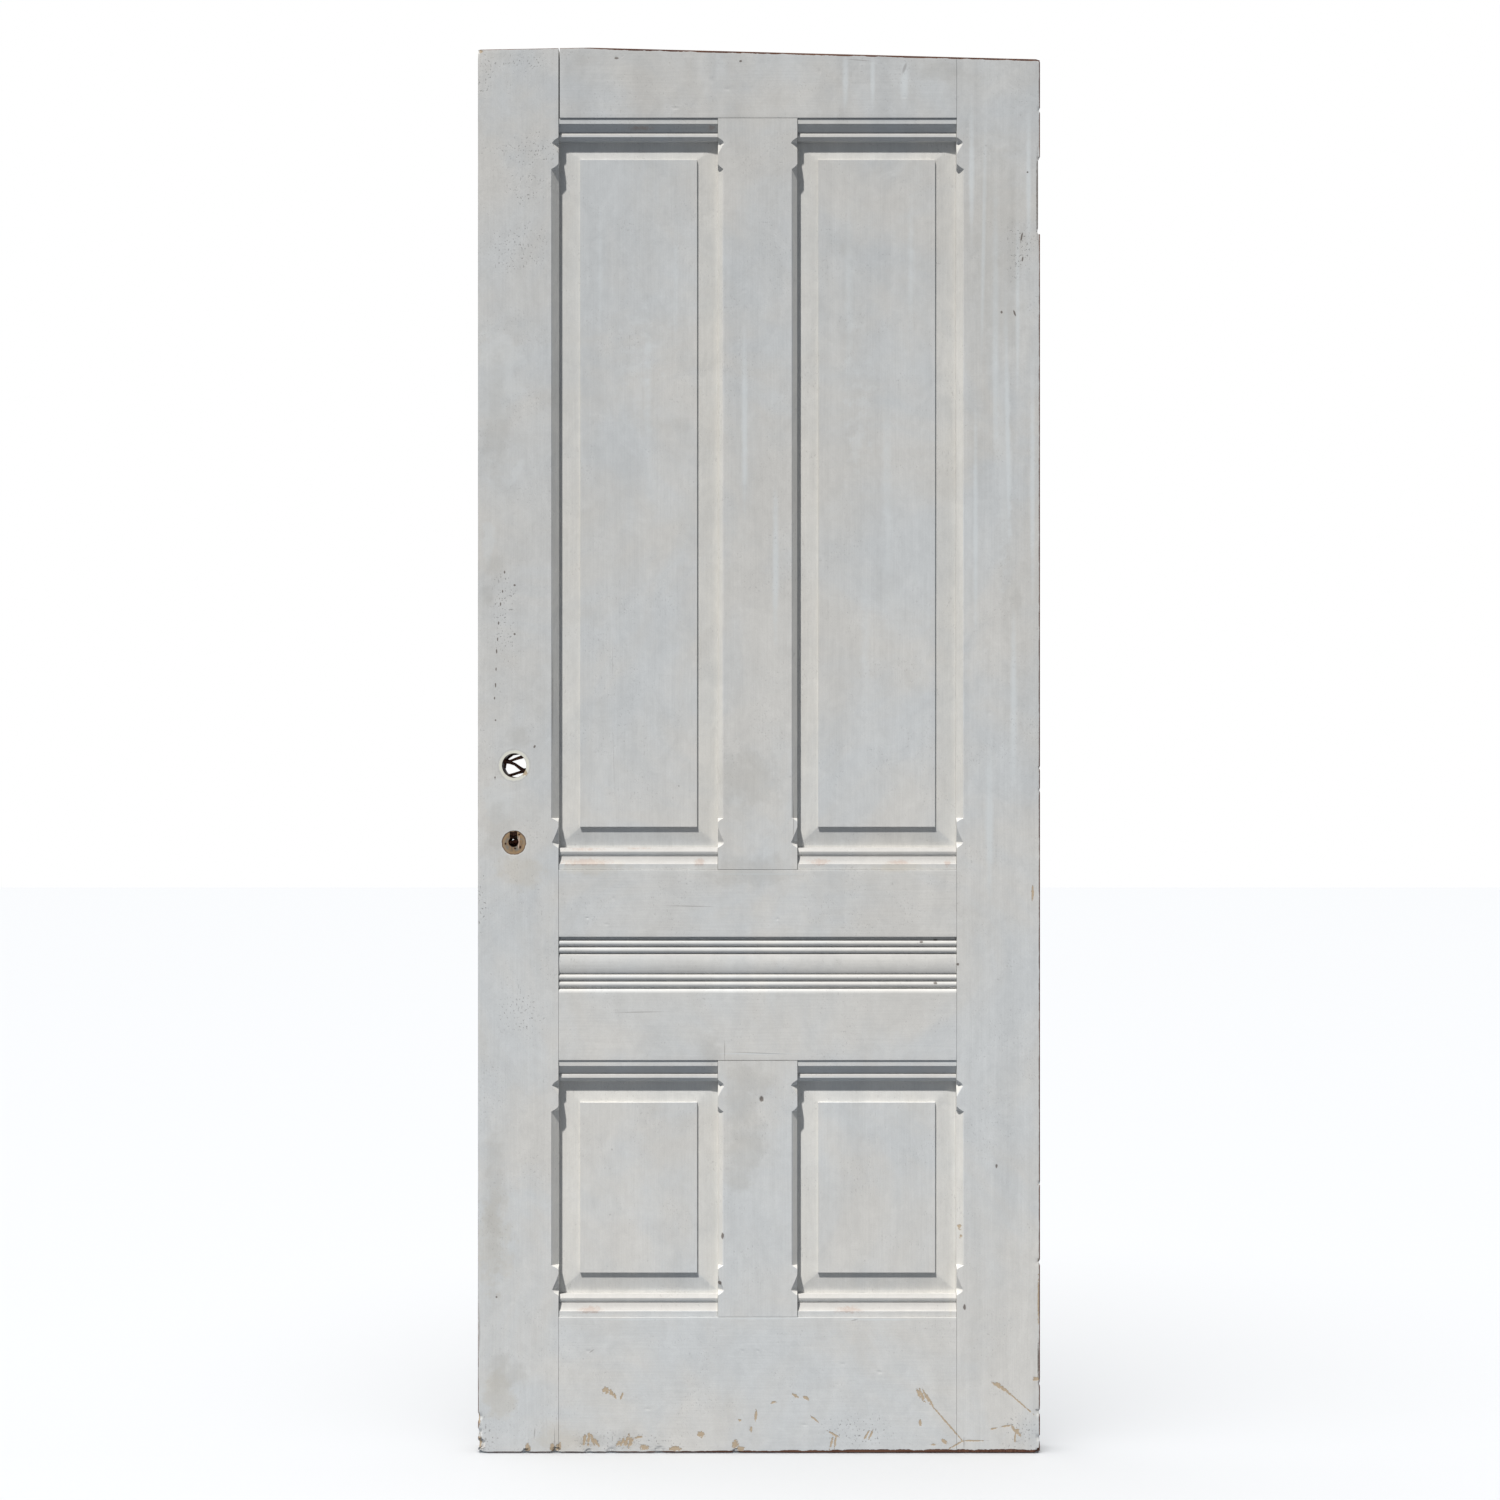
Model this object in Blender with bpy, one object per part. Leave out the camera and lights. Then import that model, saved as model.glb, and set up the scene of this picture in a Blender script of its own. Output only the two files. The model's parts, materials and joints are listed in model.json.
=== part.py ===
"""Antique framed and panelled pine door leaf, painted, with its knob and hinges gone.

Local places are measured from the lock edge (x), from the front face (y, growing to the back)
and from the foot of the door (z). The whole leaf hangs on an empty that puts the origin in the
middle of the lower hinge gain's floor.
"""

import math

import bmesh
import bpy
from mathutils import Matrix, Vector

# Driving sizes of the leaf, in metres
DOOR_WIDTH = 0.813
DOOR_HEIGHT = 2.032
DOOR_THICKNESS = 0.0445
LOCK_STILE_WIDTH = 0.1165
HINGE_STILE_WIDTH = 0.1205
MUNTIN_WIDTH = 0.115
BOTTOM_RAIL_HEIGHT = 0.196
LOWER_OPENING_HEIGHT = 0.371
LOWER_LOCK_RAIL_HEIGHT = 0.1033
BAND_HEIGHT = 0.0752
UPPER_LOCK_RAIL_HEIGHT = 0.0975
TOP_RAIL_HEIGHT = 0.102

# The top edge was trimmed out of square: it falls from a peak towards both edges
TOP_PEAK_FROM_LOCK_EDGE = 0.162
TOP_DROP_AT_LOCK_EDGE = 0.003
TOP_DROP_AT_HINGE_EDGE = 0.017

# Joints between the boards: the top rail has drawn away from the lock stile
FIT_GAP = 0.0003
OPEN_JOINT = 0.0018
GROOVE_DEPTH = 0.010
TONGUE_THICKNESS = 0.0075
TENON_THICKNESS = 0.014
TENON_SET_IN = 0.0025
TENON_SET_IN_AT_END = 0.035
WOOD_BEHIND_TENON = 0.043
WOOD_BESIDE_KNOB_HOLE = 0.004
STUB_TENON_LENGTH = 0.030
STUB_TENON_SET_IN = 0.0125

# Raised panels: flat margin, gently sloping bevel, small step, flat field
PANEL_END_MARGIN = 0.0035
BEVEL_AT_SIDE = 0.0302
BEVEL_AT_FOOT = 0.0265
BEVEL_AT_HEAD = {"upper": 0.0225, "lower": 0.0275}
BEVEL_RISE = 0.0026
FIELD_STEP = 0.0035
BACK_BEVEL = 0.034

# Moulding at the head and foot of each opening, from the rail inwards
FILLET_WIDTH = 0.0081
COVE_WIDTH = 0.0107
QUIRK_WIDTH = 0.0008
RIDGE_OUTER_WIDTH = 0.0063
RIDGE_INNER_WIDTH = 0.0054
FILLET_DEPTH = 0.0018
COVE_STEP = 0.0015
COVE_DROP = 0.0046
COVE_SAG = 0.0005
QUIRK_DROP = 0.0018
RIDGE_RISE = 0.0028
RIDGE_FALL = 0.0032

# Stopped chamfers beside the openings: lengths along the arris from each end of the opening
HEAD_FLARE_START = 0.0275
HEAD_RUN_UP = 0.0095
HEAD_RUN_OUT = 0.018
HEAD_PLAIN_RUN = 0.0095
HEAD_STOP_RUN = 0.0095
FOOT_FLARE_START = 0.031
FOOT_RUN_UP = 0.0088
FOOT_RUN_OUT = 0.0245
FOOT_PLAIN_RUN = 0.003
FOOT_STOP_RUN = 0.0072
FLARE_WIDTH = 0.0092
STILE_CHAMFER_WIDTH = 0.0105
MUNTIN_CHAMFER_WIDTH = 0.0082

# Reeded band between the two lock rails, and the rounded arris of the rail below it
BAND_SET_BACK = 0.0015
REED_RISE = 0.0052
REED_WIDTH = 0.0102
REEDS_EACH_SIDE = 2
CENTRE_CROWN = 0.0018
CENTRE_SQUARENESS = 8
BAND_HEAD_EDGE = 0.0042
BAND_FOOT_EDGE = 0.0011
BAND_BACK_SET_IN = 0.0045
RAIL_ROUND_HEIGHT = 0.0058
RAIL_ROUND_DEPTH = 0.0042

# Holes for the missing knob and key
KNOB_HOLE_FROM_EDGE = 0.0525
KNOB_HOLE_HEIGHT = 0.9936
KNOB_HOLE_DIAMETER = 0.035
KEYHOLE_FROM_EDGE = 0.0515
KEYHOLE_BELOW_KNOB = 0.1106
KEYHOLE_DIAMETER = 0.0145
KEYHOLE_SLOT_WIDTH = 0.0105
KEYHOLE_SLOT_RISE = 0.0145

# Gains cut in the hinge edge for the missing hinges
GAIN_LENGTH = 0.112
GAIN_DEPTH = 0.0028
GAIN_FRONT_LIP = 0.0085
LOWER_GAIN_HEIGHT = 0.276
UPPER_GAIN_HEIGHT = 1.762

# Fineness of curved work, and how far a cutter runs past what it cuts
ROUND_HOLE_SIDES = 40
CURVE_STEPS = 6
RUN_OUT_HOLLOW = 1.2
STOP_HOLLOW = 1.6
REED_STEPS = 8
CENTRE_STEPS = 14
OVERRUN = 0.006
SKIM = 0.0006

# Sizes that follow from the driving ones
OPENING_WIDTH = (DOOR_WIDTH - LOCK_STILE_WIDTH - HINGE_STILE_WIDTH - MUNTIN_WIDTH) / 2
PANEL_DEPTH = (DOOR_THICKNESS - TONGUE_THICKNESS) / 2
MOULDING_WIDTH = FILLET_WIDTH + COVE_WIDTH + QUIRK_WIDTH + RIDGE_OUTER_WIDTH + RIDGE_INNER_WIDTH
LOWER_LOCK_RAIL_FOOT = BOTTOM_RAIL_HEIGHT + LOWER_OPENING_HEIGHT
BAND_FOOT = LOWER_LOCK_RAIL_FOOT + LOWER_LOCK_RAIL_HEIGHT
UPPER_LOCK_RAIL_FOOT = BAND_FOOT + BAND_HEIGHT
UPPER_OPENING_FOOT = UPPER_LOCK_RAIL_FOOT + UPPER_LOCK_RAIL_HEIGHT
TOP_RAIL_FOOT = DOOR_HEIGHT - TOP_RAIL_HEIGHT
MUNTIN_LEFT = LOCK_STILE_WIDTH + OPENING_WIDTH
MUNTIN_RIGHT = MUNTIN_LEFT + MUNTIN_WIDTH
HINGE_STILE_LEFT = DOOR_WIDTH - HINGE_STILE_WIDTH
KEYHOLE_HEIGHT = KNOB_HOLE_HEIGHT - KEYHOLE_BELOW_KNOB
LOCK_TENON_END = KNOB_HOLE_FROM_EDGE + KNOB_HOLE_DIAMETER / 2 + WOOD_BESIDE_KNOB_HOLE
HINGE_TENON_END = DOOR_WIDTH - WOOD_BEHIND_TENON
HEAD_RUNS = (HEAD_RUN_UP, HEAD_RUN_OUT, HEAD_PLAIN_RUN, HEAD_STOP_RUN)
FOOT_RUNS = (FOOT_RUN_UP, FOOT_RUN_OUT, FOOT_PLAIN_RUN, FOOT_STOP_RUN)
OPENING_LEFTS = {"left": LOCK_STILE_WIDTH, "right": MUNTIN_RIGHT}
OPENING_ENDS = {
    "upper": (UPPER_OPENING_FOOT, TOP_RAIL_FOOT),
    "lower": (BOTTOM_RAIL_HEIGHT, LOWER_LOCK_RAIL_FOOT),
}
LEAF_CORNER = Vector((
    GAIN_DEPTH - DOOR_WIDTH,
    -(GAIN_FRONT_LIP + DOOR_THICKNESS) / 2,
    -(LOWER_GAIN_HEIGHT + GAIN_LENGTH / 2),
))


def clear_scene():
    for item in list(bpy.data.objects):
        bpy.data.objects.remove(item, do_unlink=True)


def make_collection(name):
    collection = bpy.data.collections.new(name)
    bpy.context.scene.collection.children.link(collection)
    return collection


def make_material(name, colour, roughness):
    material = bpy.data.materials.new(name)
    material.use_nodes = True
    shader = material.node_tree.nodes["Principled BSDF"]
    shader.inputs["Base Color"].default_value = (*colour, 1.0)
    shader.inputs["Roughness"].default_value = roughness
    shader.inputs["Metallic"].default_value = 0.0
    return material


clear_scene()
DOOR = make_collection("panelled_door")
CUTTERS = make_collection("cutters")
LEAF = bpy.data.objects.new("leaf_corner", None)
LEAF.location = LEAF_CORNER
DOOR.objects.link(LEAF)


def add_piece(name, bm, colour, roughness=0.62):
    """Turn a bmesh into a named part of the door with its own painted finish."""
    mesh = bpy.data.meshes.new(name)
    bmesh.ops.recalc_face_normals(bm, faces=bm.faces)
    bm.to_mesh(mesh)
    bm.free()
    mesh.materials.append(make_material(name + "_paint", colour, roughness))
    piece = bpy.data.objects.new(name, mesh)
    piece.parent = LEAF
    DOOR.objects.link(piece)
    return piece


def apply_boolean(piece, bm, operation):
    """Cut a shape out of a piece, or join one to it, with a hidden working shape."""
    name = f"{piece.name}_{operation.lower()}_{len(piece.modifiers) + 1}"
    mesh = bpy.data.meshes.new(name)
    bmesh.ops.recalc_face_normals(bm, faces=bm.faces)
    bm.to_mesh(mesh)
    bm.free()
    tool = bpy.data.objects.new(name, mesh)
    tool.parent = LEAF
    tool.hide_render = True
    tool.display_type = "WIRE"
    CUTTERS.objects.link(tool)
    modifier = piece.modifiers.new(name, "BOOLEAN")
    modifier.operation = operation
    modifier.solver = "EXACT"
    modifier.object = tool


def cut(piece, bm):
    apply_boolean(piece, bm, "DIFFERENCE")


def join(piece, bm):
    apply_boolean(piece, bm, "UNION")


def box(low, high):
    """A box between two opposite corners."""
    low = Vector(low)
    high = Vector(high)
    bm = bmesh.new()
    size = high - low
    place = Matrix.Translation((low + high) / 2) @ Matrix.Diagonal((*size, 1.0))
    bmesh.ops.create_cube(bm, size=1.0, matrix=place)
    return bm


def prism(outline, run):
    """A flat outline of points, extruded along a vector."""
    bm = bmesh.new()
    face = bm.faces.new([bm.verts.new(point) for point in outline])
    grown = bmesh.ops.extrude_face_region(bm, geom=[face], use_keep_orig=True)
    moved = [item for item in grown["geom"] if isinstance(item, bmesh.types.BMVert)]
    bmesh.ops.translate(bm, verts=moved, vec=run)
    return bm


def arc(x, z, diameter, start, stop, sides):
    """Points in front of the face, along a circle from one angle to another."""
    points = []
    for step in range(sides + 1):
        turn = ease(start, stop, step / sides)
        across = x + diameter / 2 * math.cos(turn)
        points.append((across, -OVERRUN, z + diameter / 2 * math.sin(turn)))
    return points


def through_hole(outline):
    """An outline drawn in front of the face, run right through the thickness."""
    return prism(outline, (0, DOOR_THICKNESS + 2 * OVERRUN, 0))


def tongue_depths(clearance):
    """Front and back of the panel tongue, or of its groove when given a clearance."""
    return PANEL_DEPTH - clearance, PANEL_DEPTH + TONGUE_THICKNESS + clearance


def tenon_depths(clearance):
    """Front and back of a tenon, or of its mortise when given a clearance."""
    front = (DOOR_THICKNESS - TENON_THICKNESS) / 2
    return front - clearance, front + TENON_THICKNESS + clearance


def top_trim():
    """Everything above the sloping top edge."""
    left = -OVERRUN
    right = DOOR_WIDTH + OVERRUN
    lock_fall = TOP_DROP_AT_LOCK_EDGE / TOP_PEAK_FROM_LOCK_EDGE
    hinge_fall = TOP_DROP_AT_HINGE_EDGE / (DOOR_WIDTH - TOP_PEAK_FROM_LOCK_EDGE)
    front = -OVERRUN
    above = DOOR_HEIGHT + 2 * OVERRUN
    outline = [
        (left, front, DOOR_HEIGHT - TOP_DROP_AT_LOCK_EDGE - lock_fall * OVERRUN),
        (TOP_PEAK_FROM_LOCK_EDGE, front, DOOR_HEIGHT),
        (right, front, DOOR_HEIGHT - TOP_DROP_AT_HINGE_EDGE - hinge_fall * OVERRUN),
        (right, front, above),
        (left, front, above),
    ]
    return prism(outline, (0, DOOR_THICKNESS + 2 * OVERRUN, 0))


def ease(start, stop, share):
    return start + (stop - start) * share


def chamfer_end(start, runs, chamfer_width):
    """Distances and widths of a flare and of the chamfer's stop, from the end of the opening."""
    run_up, run_out, plain_run, stop_run = runs
    flare_tip = start + run_up
    flare_end = flare_tip + run_out
    stop_start = flare_end + plain_run
    stop_end = stop_start + stop_run
    line = []
    for step in range(CURVE_STEPS + 1):
        share = step / CURVE_STEPS
        width = ease(-SKIM, FLARE_WIDTH, math.sin(share * math.pi / 2))
        line.append((ease(start, flare_tip, share), width))
    for step in range(1, CURVE_STEPS + 1):
        share = step / CURVE_STEPS
        width = ease(FLARE_WIDTH, -SKIM, 1 - (1 - share) ** RUN_OUT_HOLLOW)
        line.append((ease(flare_tip, flare_end, share), width))
    for step in range(CURVE_STEPS + 1):
        share = step / CURVE_STEPS
        width = ease(-SKIM, chamfer_width, share ** STOP_HOLLOW)
        line.append((ease(stop_start, stop_end, share), width))
    return line


def chamfer_cutter(arris_x, side, foot, head, chamfer_width):
    """Stopped chamfer with a leaf-shaped flare at each end, along one side of an opening.

    side is +1 where the wood lies to the right of the arris and -1 where it lies to the left.
    Widths are measured on the face, so the cut runs width / sqrt(2) deep along the diagonal.
    """
    at_foot = chamfer_end(FOOT_FLARE_START, FOOT_RUNS, chamfer_width)
    at_head = chamfer_end(HEAD_FLARE_START, HEAD_RUNS, chamfer_width)
    line = [(foot + distance, width) for distance, width in at_foot]
    line += [(head - distance, width) for distance, width in reversed(at_head)]
    line += [(head - HEAD_FLARE_START, -OVERRUN), (foot + FOOT_FLARE_START, -OVERRUN)]
    inward = Vector((side, 1, 0)).normalized()
    across = Vector((1, -side, 0)).normalized()
    reach = max(FLARE_WIDTH, chamfer_width) + OVERRUN
    outline = []
    for height, width in line:
        point = Vector((arris_x, 0, height)) + inward * (width / math.sqrt(2))
        outline.append(point - across * reach)
    return prism(outline, across * 2 * reach)


def groove_beside_opening(piece, edge_x, side, foot, head):
    """Groove in a stile for the tongues of a panel, from just past its foot to past its head."""
    near, far = tongue_depths(FIT_GAP)
    reach = GROOVE_DEPTH + FIT_GAP
    ends = sorted((edge_x - side * OVERRUN, edge_x + side * reach))
    cut(piece, box((ends[0], near, foot - reach), (ends[1], far, head + reach)))


def rail_tenon_range(rail):
    """Lowest and highest point of a rail's tenons."""
    foot, head = RAIL_ENDS[rail]
    at_groove = GROOVE_DEPTH + TENON_SET_IN
    low = foot + (TENON_SET_IN_AT_END if rail == "bottom_rail" else at_groove)
    high = head - (TENON_SET_IN_AT_END if rail == "top_rail" else at_groove)
    return low, high


RAIL_ENDS = {
    "bottom_rail": (0.0, BOTTOM_RAIL_HEIGHT),
    "lower_lock_rail": (LOWER_LOCK_RAIL_FOOT, BAND_FOOT),
    "upper_lock_rail": (UPPER_LOCK_RAIL_FOOT, UPPER_OPENING_FOOT),
    "top_rail": (TOP_RAIL_FOOT, DOOR_HEIGHT),
}
GROOVED_SPANS = [*OPENING_ENDS.values(), (BAND_FOOT, UPPER_LOCK_RAIL_FOOT)]


def make_stile(name, left, width, inner_edge, side, tenon_end):
    """A full-height side board, with its grooves, mortises, chamfers and trimmed top."""
    blank = box((left, 0, 0), (left + width, DOOR_THICKNESS, DOOR_HEIGHT + OVERRUN))
    stile = add_piece(name, blank, (0.56, 0.57, 0.55))
    for foot, head in GROOVED_SPANS:
        groove_beside_opening(stile, inner_edge, side, foot, head)
    near, far = tenon_depths(FIT_GAP)
    across = sorted((inner_edge - side * OVERRUN, tenon_end + side * FIT_GAP))
    for rail in RAIL_ENDS:
        low, high = rail_tenon_range(rail)
        cut(stile, box((across[0], near, low - FIT_GAP), (across[1], far, high + FIT_GAP)))
    for foot, head in OPENING_ENDS.values():
        cut(stile, chamfer_cutter(inner_edge, side, foot, head, STILE_CHAMFER_WIDTH))
    cut(stile, top_trim())
    return stile


def make_lock_stile():
    stile = make_stile(
        "lock_stile", 0.0, LOCK_STILE_WIDTH, LOCK_STILE_WIDTH, -1, LOCK_TENON_END)
    knob_hole = arc(KNOB_HOLE_FROM_EDGE, KNOB_HOLE_HEIGHT, KNOB_HOLE_DIAMETER,
                    0.0, math.tau, ROUND_HOLE_SIDES)
    cut(stile, through_hole(knob_hole[:-1]))
    half_slot = KEYHOLE_SLOT_WIDTH / 2
    shoulder = math.acos(KEYHOLE_SLOT_WIDTH / KEYHOLE_DIAMETER)
    keyhole = arc(KEYHOLE_FROM_EDGE, KEYHOLE_HEIGHT, KEYHOLE_DIAMETER,
                  math.pi - shoulder, math.tau + shoulder, ROUND_HOLE_SIDES)
    slot_head = KEYHOLE_HEIGHT + KEYHOLE_SLOT_RISE
    keyhole.append((KEYHOLE_FROM_EDGE + half_slot, -OVERRUN, slot_head))
    keyhole.append((KEYHOLE_FROM_EDGE - half_slot, -OVERRUN, slot_head))
    cut(stile, through_hole(keyhole))


def make_hinge_stile():
    """The lower gain keeps a lip at the front face, and the upper one runs right through."""
    stile = make_stile(
        "hinge_stile", HINGE_STILE_LEFT, HINGE_STILE_WIDTH, HINGE_STILE_LEFT, 1, HINGE_TENON_END)
    floor_x = DOOR_WIDTH - GAIN_DEPTH
    outside_x = DOOR_WIDTH + OVERRUN
    back_y = DOOR_THICKNESS + OVERRUN
    for foot, front_y in ((LOWER_GAIN_HEIGHT, GAIN_FRONT_LIP), (UPPER_GAIN_HEIGHT, -OVERRUN)):
        cut(stile, box((floor_x, front_y, foot), (outside_x, back_y, foot + GAIN_LENGTH)))


def make_rail(name, groove_below, groove_above):
    """A cross board with blind tenons, grooves for the panels and mortises for the muntins."""
    foot, head = RAIL_ENDS[name]
    trimmed = name == "top_rail"
    left = LOCK_STILE_WIDTH + (OPEN_JOINT if trimmed else FIT_GAP)
    right = HINGE_STILE_LEFT - FIT_GAP
    top = head + OVERRUN if trimmed else head
    rail = add_piece(name, box((left, 0, foot), (right, DOOR_THICKNESS, top)), (0.56, 0.57, 0.55))
    near, far = tenon_depths(0)
    low, high = rail_tenon_range(name)
    for inner, outer in ((left + OVERRUN, LOCK_TENON_END), (right - OVERRUN, HINGE_TENON_END)):
        ends = sorted((inner, outer))
        join(rail, box((ends[0], near, low), (ends[1], far, high)))
    reach = GROOVE_DEPTH + FIT_GAP
    groove_near, groove_far = tongue_depths(FIT_GAP)
    groove_ends = (left - OVERRUN, right + OVERRUN)
    if groove_below:
        cut(rail, box((groove_ends[0], groove_near, foot - OVERRUN),
                      (groove_ends[1], groove_far, foot + reach)))
    if groove_above:
        cut(rail, box((groove_ends[0], groove_near, head - reach),
                      (groove_ends[1], groove_far, head + OVERRUN)))
    mortise_near, mortise_far = tenon_depths(FIT_GAP)
    mortise_left = MUNTIN_LEFT + STUB_TENON_SET_IN + GROOVE_DEPTH - FIT_GAP
    mortise_right = MUNTIN_RIGHT - STUB_TENON_SET_IN - GROOVE_DEPTH + FIT_GAP
    depth = STUB_TENON_LENGTH + FIT_GAP
    for opening_foot, opening_head in OPENING_ENDS.values():
        if math.isclose(opening_foot, head):
            cut(rail, box((mortise_left, mortise_near, head - depth),
                          (mortise_right, mortise_far, head + OVERRUN)))
        if math.isclose(opening_head, foot):
            cut(rail, box((mortise_left, mortise_near, foot - OVERRUN),
                          (mortise_right, mortise_far, foot + depth)))
    if trimmed:
        cut(rail, top_trim())
    return rail


def round_over_arris(rail, head):
    """Round the front arris at the head of a rail, below the reeded band."""
    left = LOCK_STILE_WIDTH
    outline = [(left, -OVERRUN, head + OVERRUN), (left, -OVERRUN, head - RAIL_ROUND_HEIGHT)]
    for step in range(CURVE_STEPS + 1):
        turn = math.pi / 2 * step / CURVE_STEPS
        height = head - RAIL_ROUND_HEIGHT * (1 - math.sin(turn))
        outline.append((left, RAIL_ROUND_DEPTH * (1 - math.cos(turn)), height))
    outline.append((left, RAIL_ROUND_DEPTH, head + OVERRUN))
    cut(rail, prism(outline, (HINGE_STILE_LEFT - left, 0, 0)))


def make_muntin(row):
    """The upright between two panels, stub-tenoned into the rails above and below."""
    foot, head = OPENING_ENDS[row]
    low = foot + FIT_GAP
    high = head - FIT_GAP
    blank = box((MUNTIN_LEFT, 0, low), (MUNTIN_RIGHT, DOOR_THICKNESS, high))
    muntin = add_piece(f"{row}_muntin", blank, (0.55, 0.56, 0.54))
    near, far = tenon_depths(0)
    set_in = STUB_TENON_SET_IN + GROOVE_DEPTH
    for inner, outer in ((low + OVERRUN, foot - STUB_TENON_LENGTH),
                         (high - OVERRUN, head + STUB_TENON_LENGTH)):
        ends = sorted((inner, outer))
        join(muntin, box((MUNTIN_LEFT + set_in, near, ends[0]),
                         (MUNTIN_RIGHT - set_in, far, ends[1])))
    groove_near, groove_far = tongue_depths(FIT_GAP)
    reach = GROOVE_DEPTH + FIT_GAP
    for edge, side in ((MUNTIN_LEFT, 1), (MUNTIN_RIGHT, -1)):
        ends = sorted((edge - side * OVERRUN, edge + side * reach))
        cut(muntin, box((ends[0], groove_near, low - OVERRUN),
                        (ends[1], groove_far, high + OVERRUN)))
        cut(muntin, chamfer_cutter(edge, side, foot, head, MUNTIN_CHAMFER_WIDTH))


def grow_face(bm, face, frame, depth):
    """Extrude a rectangular face onto another rectangle at another depth."""
    left, right, foot, head = frame
    middle = face.calc_center_median()
    grown = bmesh.ops.extrude_discrete_faces(bm, faces=[face])["faces"][0]
    for vert in grown.verts:
        vert.co.x = left if vert.co.x < middle.x else right
        vert.co.z = foot if vert.co.z < middle.z else head
        vert.co.y = depth
    return grown


def make_panel(row, column):
    """A raised panel: tongues all round, a bevel and a stepped field in front, a bevel behind."""
    left = OPENING_LEFTS[column]
    right = left + OPENING_WIDTH
    foot, head = OPENING_ENDS[row]
    tongue = (left - GROOVE_DEPTH, right + GROOVE_DEPTH, foot - GROOVE_DEPTH, head + GROOVE_DEPTH)
    near, far = tongue_depths(0)
    bm = box((tongue[0], near, tongue[2]), (tongue[1], far, tongue[3]))
    front = min(bm.faces, key=lambda face: face.calc_center_median().y)
    back = max(bm.faces, key=lambda face: face.calc_center_median().y)
    end_margin = MOULDING_WIDTH + PANEL_END_MARGIN
    outer = (left, right, foot + end_margin, head - end_margin)
    field = (
        outer[0] + BEVEL_AT_SIDE,
        outer[1] - BEVEL_AT_SIDE,
        outer[2] + BEVEL_AT_FOOT,
        outer[3] - BEVEL_AT_HEAD[row],
    )
    face = grow_face(bm, front, outer, near)
    face = grow_face(bm, face, field, near - BEVEL_RISE)
    grow_face(bm, face, field, near - BEVEL_RISE - FIELD_STEP)
    opening = (left, right, foot, head)
    back_field = (left + BACK_BEVEL, right - BACK_BEVEL, foot + BACK_BEVEL, head - BACK_BEVEL)
    face = grow_face(bm, back, opening, far)
    grow_face(bm, face, back_field, far + BEVEL_RISE + FIELD_STEP)
    add_piece(f"{row}_{column}_panel", bm, (0.57, 0.565, 0.53))


def moulding_profile():
    """Points of width and depth: fillet, shallow cove, quirk and ridge, from the rail inwards."""
    points = [(FIT_GAP, FILLET_DEPTH), (FILLET_WIDTH, FILLET_DEPTH)]
    cove_top = FILLET_DEPTH + COVE_STEP
    for step in range(CURVE_STEPS + 1):
        share = step / CURVE_STEPS
        sag = COVE_SAG * math.sin(math.pi * share)
        points.append((FILLET_WIDTH + COVE_WIDTH * share, cove_top + COVE_DROP * share + sag))
    quirk_left = FILLET_WIDTH + COVE_WIDTH
    quirk_right = quirk_left + QUIRK_WIDTH
    quirk_floor = cove_top + COVE_DROP + QUIRK_DROP
    points.append((quirk_left, quirk_floor))
    for step in range(CURVE_STEPS + 1):
        turn = math.pi / 2 * step / CURVE_STEPS
        across = quirk_right + RIDGE_OUTER_WIDTH * (1 - math.cos(turn))
        points.append((across, quirk_floor - RIDGE_RISE * math.sin(turn)))
    points.append((MOULDING_WIDTH, quirk_floor - RIDGE_RISE + RIDGE_FALL))
    points.append((MOULDING_WIDTH, PANEL_DEPTH - FIT_GAP))
    points.append((FIT_GAP, PANEL_DEPTH - FIT_GAP))
    return points


def make_moulding(row, column, end):
    """A planted strip lying on the panel's margin, against the rail at one end of an opening."""
    left = OPENING_LEFTS[column] + FIT_GAP
    foot, head = OPENING_ENDS[row]
    rail_z, inwards = (head, -1) if end == "head" else (foot, 1)
    outline = [(left, depth, rail_z + inwards * width) for width, depth in moulding_profile()]
    bm = prism(outline, (OPENING_WIDTH - 2 * FIT_GAP, 0, 0))
    add_piece(f"{row}_{column}_{end}_moulding", bm, (0.56, 0.565, 0.54))


def band_profile():
    """Points of height and depth across the front of the reeded band, from foot to head."""
    valley = BAND_SET_BACK + REED_RISE
    edges = BAND_FOOT_EDGE + BAND_HEAD_EDGE
    centre_width = BAND_HEIGHT - edges - 2 * REEDS_EACH_SIDE * REED_WIDTH
    widths = [REED_WIDTH] * REEDS_EACH_SIDE + [centre_width] + [REED_WIDTH] * REEDS_EACH_SIDE
    points = [(FIT_GAP, valley)]
    start = BAND_FOOT_EDGE
    for number, width in enumerate(widths):
        centre = number == REEDS_EACH_SIDE
        steps = CENTRE_STEPS if centre else REED_STEPS
        crown = CENTRE_CROWN if centre else 0.0
        squareness = CENTRE_SQUARENESS if centre else 2
        for step in range(steps):
            across = -math.cos(math.pi * step / steps)
            shoulder = (1 - abs(across) ** squareness) ** (1 / squareness)
            rise = crown * (1 - across ** 2) + (REED_RISE - crown) * shoulder
            points.append((start + width * (1 + across) / 2, valley - rise))
        start += width
    points.append((start, valley))
    points.append((BAND_HEIGHT - FIT_GAP, valley))
    return points


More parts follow.
